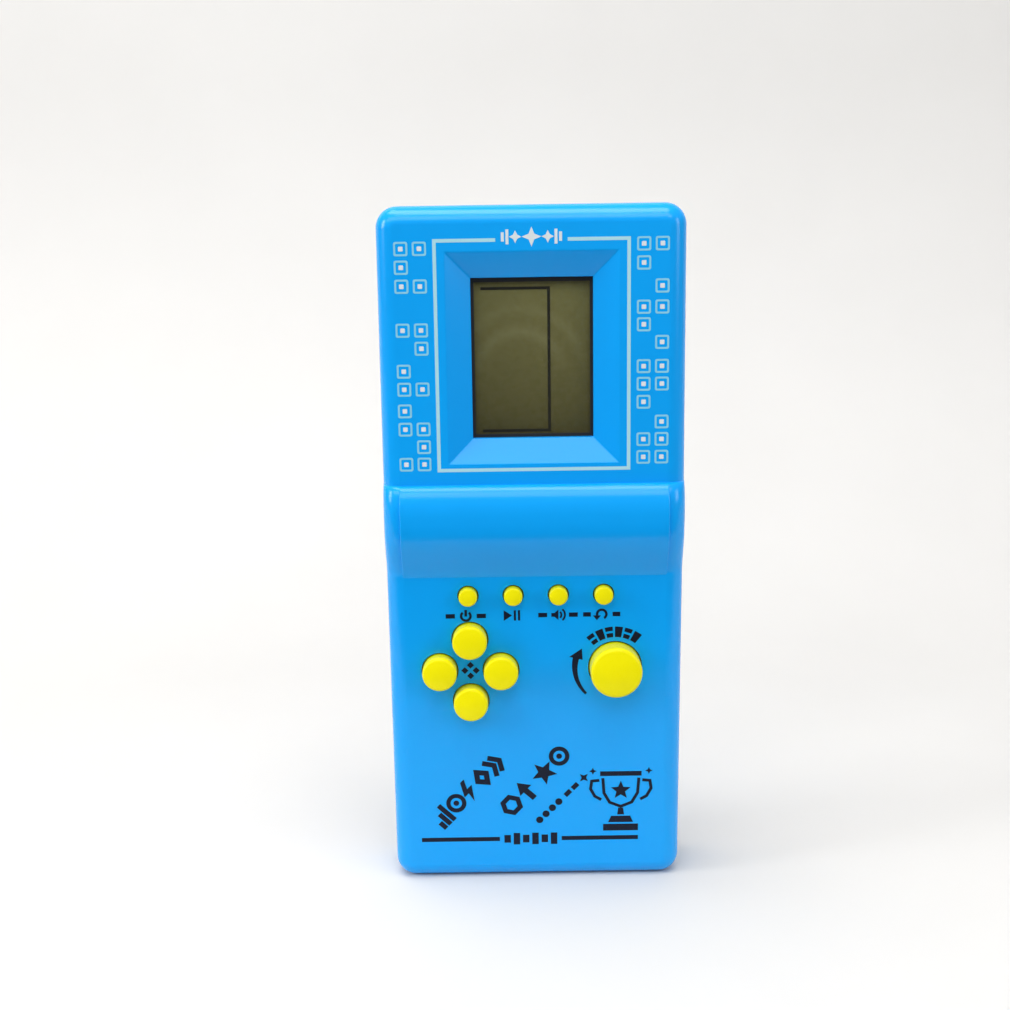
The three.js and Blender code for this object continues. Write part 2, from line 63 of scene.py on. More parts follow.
def addCamera(setup):
    view = bpy.data.cameras.new("frontCamera")
    view.lens = setup["lens"]
    view.sensor_width = setup["sensor"]
    view.clip_start = 0.01
    camera = bpy.data.objects.new("frontCamera", view)
    bpy.context.scene.collection.objects.link(camera)
    turned = Matrix.Rotation(math.radians(-setup["turn"]), 4, "Z")
    tilted = Matrix.Rotation(math.radians(90 - setup["tilt"]), 4, "X")
    rolled = Matrix.Rotation(math.radians(setup["roll"]), 4, "Z")
    place = Matrix.Translation(Vector(setup["place"]) * mm)
    camera.matrix_world = place @ turned @ tilted @ rolled
    bpy.context.scene.camera = camera


addCamera(cameraSetup)


# working helpers: select, shape, cut and finish

def deselect():
    active = bpy.context.view_layer.objects.active
    if active and active.mode != "OBJECT":
        bpy.ops.object.mode_set(mode="OBJECT")
    bpy.ops.object.select_all(action="DESELECT")


def focus(piece):
    deselect()
    piece.select_set(True)
    bpy.context.view_layer.objects.active = piece


def settle(piece):
    # the place, turn and scale go into the mesh
    focus(piece)
    bpy.ops.object.transform_apply(location=True, rotation=True, scale=True)
    return piece


def applyAll(piece):
    focus(piece)
    for change in list(piece.modifiers):
        bpy.ops.object.modifier_apply(modifier=change.name)
    return piece


def addBlock(name, low, high):
    deselect()
    centre = [(a + b) / 2 * mm for a, b in zip(low, high)]
    bpy.ops.mesh.primitive_cube_add(size=1, location=centre)
    piece = bpy.context.object
    piece.name = name
    piece.scale = [(b - a) * mm for a, b in zip(low, high)]
    return settle(piece)


def addRod(name, radius, x, z, front, back, sides=64):
    deselect()
    bpy.ops.mesh.primitive_cylinder_add(
        vertices=sides, radius=radius * mm, depth=(back - front) * mm,
        location=(x * mm, (front + back) / 2 * mm, z * mm), rotation=(math.pi / 2, 0, 0))
    piece = bpy.context.object
    piece.name = name
    return settle(piece)


def pick(piece, kind, test):
    # leaves the piece in edit mode with what passes the test selected
    focus(piece)
    bpy.ops.object.mode_set(mode="EDIT")
    bpy.ops.mesh.select_mode(type=kind)
    bpy.ops.mesh.select_all(action="DESELECT")
    form = bmesh.from_edit_mesh(piece.data)
    items = {"VERT": form.verts, "EDGE": form.edges, "FACE": form.faces}[kind]
    found = [item for item in items if test(item)]
    for item in found:
        item.select_set(True)
    bmesh.update_edit_mesh(piece.data)
    return len(found)


def leaveEdit():
    bpy.ops.object.mode_set(mode="OBJECT")


def ends(edge):
    return [vert.co / mm for vert in edge.verts]


def bevelPicked(width, segments):
    bpy.ops.mesh.bevel(offset=width * mm, offset_type="OFFSET", segments=segments, profile=0.5,
                       affect="EDGES", clamp_overlap=True)
    leaveEdit()


def combine(piece, tool, how):
    change = piece.modifiers.new("combine", "BOOLEAN")
    change.operation = how
    change.object = tool
    change.solver = "EXACT"
    applyAll(piece)
    bpy.data.objects.remove(tool, do_unlink=True)


def cut(piece, tool):
    combine(piece, tool, "DIFFERENCE")


def join(piece, tool):
    combine(piece, tool, "UNION")


def softenEdges(piece, width, segments=2, angle=40):
    change = piece.modifiers.new("soften", "BEVEL")
    change.width = width * mm
    change.segments = segments
    change.limit_method = "ANGLE"
    change.angle_limit = math.radians(angle)
    change.use_clamp_overlap = True
    applyAll(piece)


def cleanMesh(piece):
    focus(piece)
    bpy.ops.object.mode_set(mode="EDIT")
    bpy.ops.mesh.select_all(action="SELECT")
    bpy.ops.mesh.remove_doubles(threshold=0.002 * mm)
    bpy.ops.mesh.dissolve_degenerate(threshold=0.002 * mm)
    leaveEdit()


def smoothShade(piece, angle=35):
    focus(piece)
    bpy.ops.object.shade_smooth_by_angle(angle=math.radians(angle))
    weigh = piece.modifiers.new("weigh", "WEIGHTED_NORMAL")
    weigh.keep_sharp = True
    weigh.weight = 80
    return piece


def wear(piece, material):
    piece.data.materials.clear()
    piece.data.materials.append(material)


def finishPiece(piece, body, material, nodes=()):
    wear(piece, material)
    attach(piece, body)
    if nodes:
        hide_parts(*nodes)
    return piece


# materials

def newMaterial(name):
    material = bpy.data.materials.new(name)
    material.use_nodes = True
    tree = material.node_tree
    shader = tree.nodes["Principled BSDF"]
    where = tree.nodes.new("ShaderNodeTexCoord").outputs["Object"]
    return material, tree, shader, where


def noiseNode(tree, where, size, detail=4, rough=0.55):
    # size is the width of a typical blotch in mm
    noise = tree.nodes.new("ShaderNodeTexNoise")
    noise.inputs["Scale"].default_value = 1 / (size * mm)
    noise.inputs["Detail"].default_value = detail
    noise.inputs["Roughness"].default_value = rough
    tree.links.new(where, noise.inputs["Vector"])
    return noise.outputs["Fac"]


def rangeNode(tree, value, fromLow, fromHigh, toLow, toHigh):
    spread = tree.nodes.new("ShaderNodeMapRange")
    spread.inputs["From Min"].default_value = fromLow
    spread.inputs["From Max"].default_value = fromHigh
    spread.inputs["To Min"].default_value = toLow
    spread.inputs["To Max"].default_value = toHigh
    tree.links.new(value, spread.inputs["Value"])
    return spread.outputs["Result"]


def spreadNoise(tree, where, size, detail, low, high, fromLow=0.3, fromHigh=0.7):
    return rangeNode(tree, noiseNode(tree, where, size, detail), fromLow, fromHigh, low, high)


def mixNode(tree, fac, first, second):
    # first and second are colours or sockets
    mix = tree.nodes.new("ShaderNodeMix")
    mix.data_type = "RGBA"
    tree.links.new(fac, mix.inputs["Factor"])
    for socket, value in ((mix.inputs["A"], first), (mix.inputs["B"], second)):
        if isinstance(value, tuple):
            socket.default_value = (*value, 1)
        else:
            tree.links.new(value, socket)
    return mix.outputs["Result"]


def bumpNode(tree, shader, height, strength, distance):
    bump = tree.nodes.new("ShaderNodeBump")
    bump.inputs["Strength"].default_value = strength
    bump.inputs["Distance"].default_value = distance * mm
    tree.links.new(height, bump.inputs["Height"])
    tree.links.new(bump.outputs["Normal"], shader.inputs["Normal"])


def edgeNode(tree):
    # 1 close to a sharp edge, 0 on flat and gently curved stretches
    shape = tree.nodes.new("ShaderNodeNewGeometry")
    rounded = tree.nodes.new("ShaderNodeBevel")
    rounded.samples = 3
    rounded.inputs["Radius"].default_value = 0.25 * mm
    facing = tree.nodes.new("ShaderNodeVectorMath")
    facing.operation = "DOT_PRODUCT"
    tree.links.new(shape.outputs["Normal"], facing.inputs[0])
    tree.links.new(rounded.outputs["Normal"], facing.inputs[1])
    return rangeNode(tree, facing.outputs["Value"], 0.8, 0.99, 0.7, 0)


def mouldedPlastic(name, look):
    # injection-moulded styrene: flow marks, faint scratches, slightly worn edges
    material, tree, shader, where = newMaterial(name)
    flow = noiseNode(tree, where, look["flowSize"], 3)
    fine = noiseNode(tree, where, 0.35, 6, 0.6)
    tone = mixNode(tree, rangeNode(tree, flow, 0.3, 0.7, 0, 1), look["colour"], look["flowColour"])
    worn = mixNode(tree, edgeNode(tree), tone, look["edgeColour"])
    tree.links.new(worn, shader.inputs["Base Color"])
    low, high = look["roughness"]
    tree.links.new(rangeNode(tree, fine, 0.3, 0.7, low, high), shader.inputs["Roughness"])
    shader.inputs["IOR"].default_value = 1.5
    shader.inputs["Specular IOR Level"].default_value = look.get("specular", 0.5)
    bumpNode(tree, shader, fine, look["bump"], 0.02)
    return material


shellLook = dict(
    colour=(0.0, 0.345, 0.89), flowColour=(0.0, 0.36, 0.92), edgeColour=(0.03, 0.45, 0.97),
    flowSize=30, roughness=(0.16, 0.23), bump=0.06, specular=0.32,
)
buttonLook = dict(
    colour=(0.84, 0.76, 0.0), flowColour=(0.87, 0.79, 0.0), edgeColour=(0.93, 0.88, 0.08),
    flowSize=5, roughness=(0.25, 0.35), bump=0.03, specular=0.18,
)
holderLook = dict(
    colour=(0.78, 0.78, 0.74), flowColour=(0.84, 0.84, 0.8), edgeColour=(0.9, 0.9, 0.86),
    flowSize=12, roughness=(0.4, 0.55), bump=0.1,
)
# black for the sheet round the screen glass: a painted shadow of the gap, not a real part
windowShadowLook = dict(
    colour=(0.006, 0.006, 0.007), flowColour=(0.012, 0.012, 0.012), edgeColour=(0.03, 0.03, 0.03),
    flowSize=4, roughness=(0.45, 0.6), bump=0.1,
)
epoxyLook = dict(
    colour=(0.012, 0.012, 0.013), flowColour=(0.02, 0.02, 0.02), edgeColour=(0.04, 0.04, 0.04),
    flowSize=3, roughness=(0.3, 0.5), bump=0.2,
)
wireRedLook = dict(
    colour=(0.5, 0.02, 0.012), flowColour=(0.58, 0.03, 0.018), edgeColour=(0.62, 0.06, 0.04),
    flowSize=2, roughness=(0.35, 0.45), bump=0.1,
)
wireBlackLook = dict(
    colour=(0.01, 0.01, 0.011), flowColour=(0.018, 0.018, 0.018), edgeColour=(0.03, 0.03, 0.03),
    flowSize=2, roughness=(0.35, 0.45), bump=0.1,
)
shellBlue = mouldedPlastic("shellBlue", shellLook)
buttonYellow = mouldedPlastic("buttonYellow", buttonLook)
holderWhite = mouldedPlastic("holderWhite", holderLook)
windowShadowBlack = mouldedPlastic("windowShadowBlack", windowShadowLook)
epoxyBlack = mouldedPlastic("epoxyBlack", epoxyLook)
wireRed = mouldedPlastic("wireRed", wireRedLook)
wireBlack = mouldedPlastic("wireBlack", wireBlackLook)


def padPrint(name, colour, thinColour, roughness):
    # screen-printed ink, a little thin in places
    material, tree, shader, where = newMaterial(name)
    thin = spreadNoise(tree, where, 0.5, 5, 0, 1, 0.6, 0.8)
    tree.links.new(mixNode(tree, thin, colour, thinColour), shader.inputs["Base Color"])
    tree.links.new(spreadNoise(tree, where, 0.15, 3, *roughness), shader.inputs["Roughness"])
    shader.inputs["Specular IOR Level"].default_value = 0.2
    bumpNode(tree, shader, noiseNode(tree, where, 0.1, 2), 0.08, 0.01)
    return material


whiteInk = padPrint("whiteInk", (0.68, 0.75, 0.78), (0.5, 0.7, 0.78), (0.35, 0.5))
paleInk = padPrint("paleInk", (0.24, 0.6, 0.78), (0.13, 0.49, 0.76), (0.35, 0.5))
lineInk = padPrint("lineInk", (0.4, 0.7, 0.79), (0.24, 0.6, 0.76), (0.35, 0.5))
blackInk = padPrint("blackInk", (0.003, 0.006, 0.02), (0.004, 0.03, 0.08), (0.3, 0.45))
lcdInk = padPrint("lcdInk", (0.012, 0.011, 0.006), (0.03, 0.028, 0.014), (0.3, 0.4))


def reflectionRingFade(tree, distance, radius, width):
    # 1 on a ring of this radius, fading to 0 on both sides, in mm: the shape of the painted reflection
    # rings
    away = tree.nodes.new("ShaderNodeMath")
    away.operation = "SUBTRACT"
    away.inputs[1].default_value = radius * mm
    tree.links.new(distance, away.inputs[0])
    size = tree.nodes.new("ShaderNodeMath")
    size.operation = "ABSOLUTE"
    tree.links.new(away.outputs["Value"], size.inputs[0])
    return rangeNode(tree, size.outputs["Value"], 0, width * mm, 1, 0)


def timesNode(tree, first, second):
    times = tree.nodes.new("ShaderNodeMath")
    times.operation = "MULTIPLY"
    tree.links.new(first, times.inputs[0])
    tree.links.new(second, times.inputs[1])
    return times.outputs["Value"]


lcdLook = dict(
    top=(0.205, 0.196, 0.07), bottom=(0.07, 0.062, 0.018), pale=(0.33, 0.32, 0.17),
    # the rings here are a painted reflection: pale arcs laid into the screen's colour
    reflectionCentre=(-3.0, 0.0, 134.5),                  # mm
    rings=((10.0, 2.4, 0.22), (15.5, 2.0, 0.12)),   # radius, width, strength
    reflectionRingFade=(134.0, 143.0),
)


def makeLcdMaterial():
    # olive polariser: darker towards the bottom, with faint pale rings in its upper part that are a
    # painted reflection
    look = lcdLook
    material, tree, shader, where = newMaterial("lcdOlive")
    low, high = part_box("lcd_front_glass")
    split = tree.nodes.new("ShaderNodeSeparateXYZ")
    tree.links.new(where, split.inputs["Vector"])
    rise = rangeNode(tree, split.outputs["Z"], low[2], high[2], 0, 1)
    tone = mixNode(tree, rise, look["bottom"], look["top"])
    fromCentre = tree.nodes.new("ShaderNodeVectorMath")
    fromCentre.operation = "DISTANCE"
    fromCentre.inputs[1].default_value = Vector(look["reflectionCentre"]) * mm + Vector((0, low[1], 0))
    tree.links.new(where, fromCentre.inputs[0])
    fadeLow, fadeHigh = look["reflectionRingFade"]
    upper = rangeNode(tree, split.outputs["Z"], fadeLow * mm, fadeHigh * mm, 0, 1)
    # painted reflection: pale rings mixed into the tone
    for radius, width, strength in look["rings"]:
        ring = timesNode(tree, reflectionRingFade(tree, fromCentre.outputs["Value"], radius, width), upper)
        tone = mixNode(tree, rangeNode(tree, ring, 0, 1, 0, strength), tone, look["pale"])
    speck = spreadNoise(tree, where, 1.2, 4, 0, 0.15, 0.5, 0.8)
    tree.links.new(mixNode(tree, speck, tone, look["bottom"]), shader.inputs["Base Color"])
    tree.links.new(spreadNoise(tree, where, 1.5, 3, 0.22, 0.34), shader.inputs["Roughness"])
    shader.inputs["Specular IOR Level"].default_value = 0.1
    return material


def makeLensMaterial():
    material, tree, shader, where = newMaterial("lensClear")
    shader.inputs["Base Color"].default_value = (0.1, 0.11, 0.1, 1)
    shader.inputs["Alpha"].default_value = 0.05
    shader.inputs["IOR"].default_value = 1.49
    shader.inputs["Specular IOR Level"].default_value = 0.15
    scuff = noiseNode(tree, where, 2.5, 6, 0.7)
    tree.links.new(rangeNode(tree, scuff, 0.35, 0.75, 0.02, 0.09), shader.inputs["Roughness"])
    bumpNode(tree, shader, noiseNode(tree, where, 25, 0), 0.03, 0.05)
    return material


def makeMetal(name, colour, dark, roughness, grain):
    material, tree, shader, where = newMaterial(name)
    stretch = tree.nodes.new("ShaderNodeMapping")
    stretch.inputs["Scale"].default_value = (1, 1, 0.12)
    tree.links.new(where, stretch.inputs["Vector"])
    brushed = noiseNode(tree, stretch.outputs["Vector"], grain, 5, 0.65)
    tone = mixNode(tree, rangeNode(tree, brushed, 0.3, 0.75, 0, 1), colour, dark)
    tree.links.new(tone, shader.inputs["Base Color"])
    shader.inputs["Metallic"].default_value = 1
    low, high = roughness
    tree.links.new(rangeNode(tree, brushed, 0.3, 0.7, low, high), shader.inputs["Roughness"])
    bumpNode(tree, shader, brushed, 0.12, 0.02)
    return material


def makeBoardMaterial():
    # green solder mask with copper tracks showing through as lighter lines
    material, tree, shader, where = newMaterial("boardGreen")
    track = tree.nodes.new("ShaderNodeTexBrick")
    track.offset = 0.35
    track.inputs["Scale"].default_value = 1 / (6 * mm)
    track.inputs["Mortar Size"].default_value = 0.06
    track.inputs["Color1"].default_value = (0.008, 0.13, 0.035, 1)
    track.inputs["Color2"].default_value = (0.01, 0.15, 0.045, 1)
    track.inputs["Mortar"].default_value = (0.03, 0.3, 0.09, 1)
    turn = tree.nodes.new("ShaderNodeMapping")
    turn.inputs["Rotation"].default_value = (math.pi / 2, 0, 0)
    tree.links.new(where, turn.inputs["Vector"])
    tree.links.new(turn.outputs["Vector"], track.inputs["Vector"])
    dust = spreadNoise(tree, where, 5, 4, 0, 0.4, 0.5, 0.8)
    tone = mixNode(tree, dust, track.outputs["Color"], (0.012, 0.08, 0.03))
    tree.links.new(tone, shader.inputs["Base Color"])
    tree.links.new(spreadNoise(tree, where, 1, 3, 0.3, 0.45), shader.inputs["Roughness"])
    bumpNode(tree, shader, track.outputs["Fac"], 0.3, 0.03)
    return material


def makeRubber():
    material, tree, shader, where = newMaterial("rubberGrey")
    grain = noiseNode(tree, where, 0.2, 5)
    blotch = spreadNoise(tree, where, 4, 3, 0, 1, 0.35, 0.7)
    tone = mixNode(tree, blotch, (0.42, 0.44, 0.46), (0.34, 0.36, 0.38))
    tree.links.new(tone, shader.inputs["Base Color"])
    tree.links.new(rangeNode(tree, grain, 0.3, 0.7, 0.65, 0.85), shader.inputs["Roughness"])
    shader.inputs["Sheen Weight"].default_value = 0.15
    bumpNode(tree, shader, grain, 0.3, 0.03)
    return material


def makeCellSleeve():
    # plain two-tone sleeve: green along most of the cell, pale grey at its raised end
    material, tree, shader, where = newMaterial("cellSleeve")
    split = tree.nodes.new("ShaderNodeSeparateXYZ")
    tree.links.new(where, split.inputs["Vector"])
    band = rangeNode(tree, split.outputs["X"], 0.0125, 0.0128, 0, 1)
    upper = rangeNode(tree, split.outputs["Z"], 0.1399, 0.1401, 0, 1)
    bandTurned = rangeNode(tree, split.outputs["X"], -0.0125, -0.0128, 0, 1)
    choose = tree.nodes.new("ShaderNodeMix")
    tree.links.new(upper, choose.inputs[0])
    tree.links.new(band, choose.inputs[2])
    tree.links.new(bandTurned, choose.inputs[3])
    tone = mixNode(tree, choose.outputs[0], (0.03, 0.16, 0.08), (0.5, 0.51, 0.52))
    dulled = mixNode(tree, spreadNoise(tree, where, 2, 5, 0, 0.3, 0.5, 0.8), tone, (0.12, 0.12, 0.12))
    tree.links.new(dulled, shader.inputs["Base Color"])
    shader.inputs["Metallic"].default_value = 0.35
    tree.links.new(spreadNoise(tree, where, 0.8, 4, 0.25, 0.4), shader.inputs["Roughness"])
    return material


lcdOlive = makeLcdMaterial()
lensClear = makeLensMaterial()
boardGreen = makeBoardMaterial()
rubberGrey = makeRubber()
cellSleeve = makeCellSleeve()
screwSteel = makeMetal("screwSteel", (0.62, 0.62, 0.6), (0.42, 0.42, 0.42), (0.25, 0.42), 0.3)
contactSteel = makeMetal("contactSteel", (0.7, 0.69, 0.66), (0.5, 0.49, 0.46), (0.2, 0.35), 0.4)
speakerMetal = makeMetal("speakerMetal", (0.35, 0.35, 0.36), (0.2, 0.2, 0.2), (0.35, 0.5), 0.8)
lcdFoil = makeMetal("lcdFoil", (0.5, 0.5, 0.42), (0.4, 0.4, 0.34), (0.4, 0.55), 1.2)

slotMaterials = dict(
    shell_blue=shellBlue, button_yellow=buttonYellow, lens_clear=lensClear, lcd_glass=lcdOlive,
    lcd_foil=lcdFoil, holder_white=holderWhite, rubber_grey=rubberGrey, board_green=boardGreen,
    epoxy_black=epoxyBlack, speaker_metal=speakerMetal, cell_sleeve=cellSleeve,
    contact_steel=contactSteel, screw_steel=screwSteel, wire_red=wireRed, wire_black=wireBlack,
)
for subpart in frame["record"]["subparts"]:
    node = frame["nodes"][subpart["node"]]
    wear(node, slotMaterials[subpart["material_slot"]])
print("materials made:", len(slotMaterials))

# the case: both halves share their outline, in mm

caseForm = dict(
    half=37.5, height=175.0, back=15.0, wall=2.0, gap=0.3, parting=3.0,
    corner=5.2, sideRound=4.5, bottomRound=4.2, backRound=3.0,
    screen=-11.5, crest=-15.0, keypadTop=-9.7, keypadBottom=-5.3,
    rollTop=107.3, rollCrest=99.4, rollFoot=83.5, rollCrease=0.8,
)
barForm = dict(half=33.2, endRound=1.3, sink=0.95, thick=1.75)
recessForm = dict(
    half=21.0, low=112.5, high=164.1, depth=3.2, back=-6.7,
    windowHalf=14.9, windowLow=118.5, windowHigh=157.7, rim=24.0, margin=2.4, edge=0.22,
)
buttonForms = dict(
    small=dict(radius=2.35, flange=3.7, edge=0.6, dome=0.2, hole=2.7),
    pad=dict(radius=4.4, flange=5.4, edge=0.9, dome=0.3, hole=4.75),
    action=dict(radius=6.55, flange=8.2, edge=1.1, dome=0.4, hole=6.9),
)
buttonSizes = dict(
    power="small", pause="small", sound="small", reset="small",
    up="pad", down="pad", left="pad", right="pad", action="action",
)
caseScrewPlaces = [(x, z) for z in (9, 92, 166) for x in (-30.6, 30.6)]


def faceDepth(z):
    form = caseForm
    if z >= form["rollTop"]:
        return form["screen"]
    if z >= form["rollCrest"]:
        along = (z - form["rollCrest"]) / (form["rollTop"] - form["rollCrest"])
        return form["screen"] + (form["crest"] - form["screen"]) * math.sqrt(max(0, 1 - along ** 2))
    if z >= form["rollFoot"]:
        along = (form["rollCrest"] - z) / (form["rollCrest"] - form["rollFoot"])
        crease = form["rollCrease"] * math.pi
        fall = (1 - math.cos(crease * along ** 1.3)) / (1 - math.cos(crease))
        return form["crest"] + (form["keypadTop"] - form["crest"]) * fall
    return form["keypadBottom"] + (form["keypadTop"] - form["keypadBottom"]) * z / form["rollFoot"]


def sunkDepth(z):
    # beside the raised bar the roll stands a little lower
    form = caseForm
    along = (z - form["rollFoot"]) / (form["rollTop"] - form["rollFoot"])
    if not 0 < along < 1:
        return faceDepth(z)
    return faceDepth(z) + barForm["sink"] * math.sin(math.pi * along) ** 0.6


def barDepth(z):
    return max(faceDepth(z) - 0.03, caseForm["crest"])


def roundPlan(piece, radius, segments=10):
    # the four corner edges that run from front to back
    pick(piece, "EDGE", lambda edge: abs(ends(edge)[0].y - ends(edge)[1].y) > 1)
    bevelPicked(radius, segments)


def roundRim(piece, depth, radius, bottomRadius, segments=8):
    # the edge all round one face, with its own radius along the bottom
    bottomShare = bottomRadius / radius

    def share(edge):
        mid = (ends(edge)[0] + ends(edge)[1]) / 2
        rise = min(1, max(0, mid.z / caseForm["corner"]))
        return bottomShare + (1 - bottomShare) * rise

    form = bmesh.new()
    form.from_mesh(piece.data)
    weights = form.edges.layers.float.new("bevel_weight_edge")
    for edge in form.edges:
        if all(abs(end.y - depth) < 0.01 for end in ends(edge)):
            edge[weights] = share(edge)
    form.to_mesh(piece.data)
    form.free()
    change = piece.modifiers.new("rim", "BEVEL")
    change.width = radius * mm
    change.segments = segments
    change.limit_method = "WEIGHT"
    change.use_clamp_overlap = False
    applyAll(piece)


def openFace(piece, depth):
    pick(piece, "FACE", lambda face: all(abs(vert.co.y / mm - depth) < 0.01 for vert in face.verts))
    bpy.ops.mesh.delete(type="ONLY_FACE")
    leaveEdit()


def thicken(piece, thickness):
    change = piece.modifiers.new("wall", "SOLIDIFY")
    change.thickness = thickness * mm
    change.offset = -1
    change.use_even_offset = True
    applyAll(piece)


def rollLevels():
    form = caseForm
    rise = form["rollTop"] - form["rollCrest"]
    fall = form["rollCrest"] - form["rollFoot"]
    upper = [form["rollCrest"] + rise * math.sin(math.pi / 2 * step / 12) for step in range(1, 13)]
    lower = [form["rollFoot"] + fall * step / 22 for step in range(23)]
    return lower + upper


def sliceAcross(piece, levels):
    for z in levels:
        pick(piece, "FACE", lambda face: True)
        bpy.ops.mesh.bisect(plane_co=(0, 0, z * mm), plane_no=(0, 0, 1), use_fill=False, threshold=1e-6)
        leaveEdit()


def pushToProfile(piece, rim, depthAt):
    # each level of the front slides along Y to the profile of the face
    heights = sorted({round(vert.co.z / mm, 4) for vert in piece.data.vertices})
    for z in heights:
        push = depthAt(z) - caseForm["screen"]
        if abs(push) < 1e-6:
            continue
        pick(piece, "VERT", lambda vert: abs(vert.co.z / mm - z) < 6e-5 and vert.co.y / mm < rim - 0.1)
        bpy.ops.transform.translate(value=(0, push * mm, 0))
        leaveEdit()


def addRollBar():
    # the bar across the middle, with its own rounded ends
    form, bar = caseForm, barForm
    piece = addBlock("rollBar", (-bar["half"], form["screen"], form["rollFoot"]),
                     (bar["half"], form["screen"] + bar["thick"], form["rollTop"]))
    sliceAcross(piece, rollLevels()[1:-1])
    pushToProfile(piece, 0, barDepth)

    def onEnd(edge):
        a, b = ends(edge)
        if abs(a.z - b.z) < 0.01:
            return False
        return all(abs(abs(point.x) - bar["half"]) < 0.01 and abs(point.y - barDepth(point.z)) < 0.02
                   for point in (a, b))

    print("bar edges:", pick(piece, "EDGE", onEnd))
    bevelPicked(bar["endRound"], 5)
    return piece


def addRecessTool():
    form = recessForm
    tool = addBlock("recessTool", (-form["half"], caseForm["screen"] - 0.001, form["low"]),
                    (form["half"], caseForm["screen"] + form["depth"], form["high"]))
    inner = lambda vert: vert.co.y / mm > caseForm["screen"] + 0.1
    pick(tool, "VERT", inner)
    centre = (form["windowLow"] + form["windowHigh"]) / 2
    width = form["windowHalf"] / form["half"]
    height = (form["windowHigh"] - form["windowLow"]) / (form["high"] - form["low"])
    middle = (form["low"] + form["high"]) / 2
    bpy.ops.transform.resize(value=(width, 1, height), center_override=(0, 0, middle * mm))
    bpy.ops.transform.translate(value=(0, 0, (centre - middle) * mm))
    leaveEdit()
    return tool


def buttonPlace(name):
    low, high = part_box("button_" + name)
    return (low[0] + high[0]) / 2 / mm, (low[2] + high[2]) / 2 / mm


def buildFrontCase():
    form = caseForm
    rim = form["parting"] - form["gap"] / 2
    case = addBlock("frontCase", (-form["half"], form["screen"], 0), (form["half"], rim, form["height"]))
    roundPlan(case, form["corner"])
    roundRim(case, form["screen"], form["sideRound"], form["bottomRound"])
    openFace(case, rim)
    sliceAcross(case, rollLevels())
    pushToProfile(case, rim, sunkDepth)
    thicken(case, form["wall"])
    join(case, addRollBar())
    bezel = recessForm
    inside = form["screen"] + form["wall"] - 0.2
    join(case, addBlock("bezelTool", (-bezel["rim"], inside, bezel["low"] - bezel["margin"]),
                        (bezel["rim"], bezel["back"], bezel["high"] + bezel["margin"])))
    for x, z in caseScrewPlaces:
        front = max(faceDepth(z - 3.4), faceDepth(z + 3.4)) + 0.9
        join(case, addRod("bossTool", 3.2, x, z, front, rim, 32))
        cut(case, addRod("pilotTool", 1.6, x, z, -3.1, rim + 1, 24))
    cut(case, addRecessTool())
    cut(case, addBlock("windowTool", (-bezel["windowHalf"], form["screen"], bezel["windowLow"]),
                       (bezel["windowHalf"], 0, bezel["windowHigh"])))
    holes = []
    for name, size in buttonSizes.items():
        x, z = buttonPlace(name)
        radius = buttonForms[size]["hole"]
        holes.append((x, z, radius))
        cut(case, addRod("holeTool", radius, x, z, -20, -3.6))
    cleanMesh(case)

    def onRecess(edge):
        a, b = ends(edge)
        for point in (a, b):
            if not form["screen"] - 0.01 < point.y < form["screen"] + bezel["depth"] + 0.01:
                return False
            if abs(point.x) > bezel["half"] + 0.01:
                return False
            if not bezel["low"] - 0.01 < point.z < bezel["high"] + 0.01:
                return False
        flat = all(abs(face.calc_center_median().y / mm - form["screen"]) < 1e-4
                   for face in edge.link_faces)
        return not flat and edge.calc_face_angle(0) > 0.2

    def onHole(edge):
        a, b = ends(edge)
        for x, z, radius in holes:
            near = [abs(math.hypot(point.x - x, point.z - z) - radius) < 0.02 for point in (a, b)]
            if all(near) and all(abs(point.y - faceDepth(point.z)) < 0.05 for point in (a, b)):
                return True
        return False

    print("recess edges:", pick(case, "EDGE", onRecess))
    bevelPicked(bezel["edge"], 3)
    print("hole edges:", pick(case, "EDGE", onHole))
    bevelPicked(0.2, 3)
    cleanMesh(case)
    smoothShade(case, 30)
    return finishPiece(case, "case", shellBlue, ["front_shell"])


frontCase = buildFrontCase()
print("front half done:", len(frontCase.data.polygons), "faces")

# back half, in mm

rearForm = dict(
    boxHalf=28.5, boxLow=124.8, boxHigh=155.2, boxFront=-1.7, boxWall=1.2,
    lidHalf=30.0, lidLow=121.7, lidHigh=158.3, lidSeat=12.85, rimDeep=11.2, rimWide=1.5,
    pinAxis=(14.075, 122.925), pinHole=0.9,
    speakerZ=62.0, speakerRing=15.0, speakerHole=13.8, slotPitch=3.2, slotHalf=0.7,
    well=2.9, wellFloor=6.5, scoopHalf=6.0, scoop=4.2, scoopOut=2.9, tabPlaces=(132.4, 147.6),
)


def addRodAcross(name, radius, y, z, left, right, sides=32):
    deselect()
    bpy.ops.mesh.primitive_cylinder_add(
        vertices=sides, radius=radius * mm, depth=(right - left) * mm,
        location=((left + right) / 2 * mm, y * mm, z * mm), rotation=(0, math.pi / 2, 0))
    piece = bpy.context.object
    piece.name = name
    return settle(piece)


def buildLip(edge):
    # the tongue that locates the two halves: a step on the wall and a thinner lip ahead of it
    form = caseForm
    lip = None
    steps = ((form["wall"] - 0.3, edge + 0.4, edge + 2),
             (form["wall"] + form["gap"], edge - 2, edge + 1.8))
    for inset, front, back in steps:
        ring = addBlock("lipTool", (-form["half"] + inset, front, inset),
                        (form["half"] - inset, back, form["height"] - inset))
        roundPlan(ring, form["corner"] - inset)
        if lip is None:
            lip = ring
        else:
            join(lip, ring)
    inset = form["wall"] + form["gap"] + 0.8
    inner = addBlock("lipInner", (-form["half"] + inset, edge - 3, inset),
                     (form["half"] - inset, edge + 3, form["height"] - inset))
    roundPlan(inner, form["corner"] - inset)
    cut(lip, inner)
    return lip


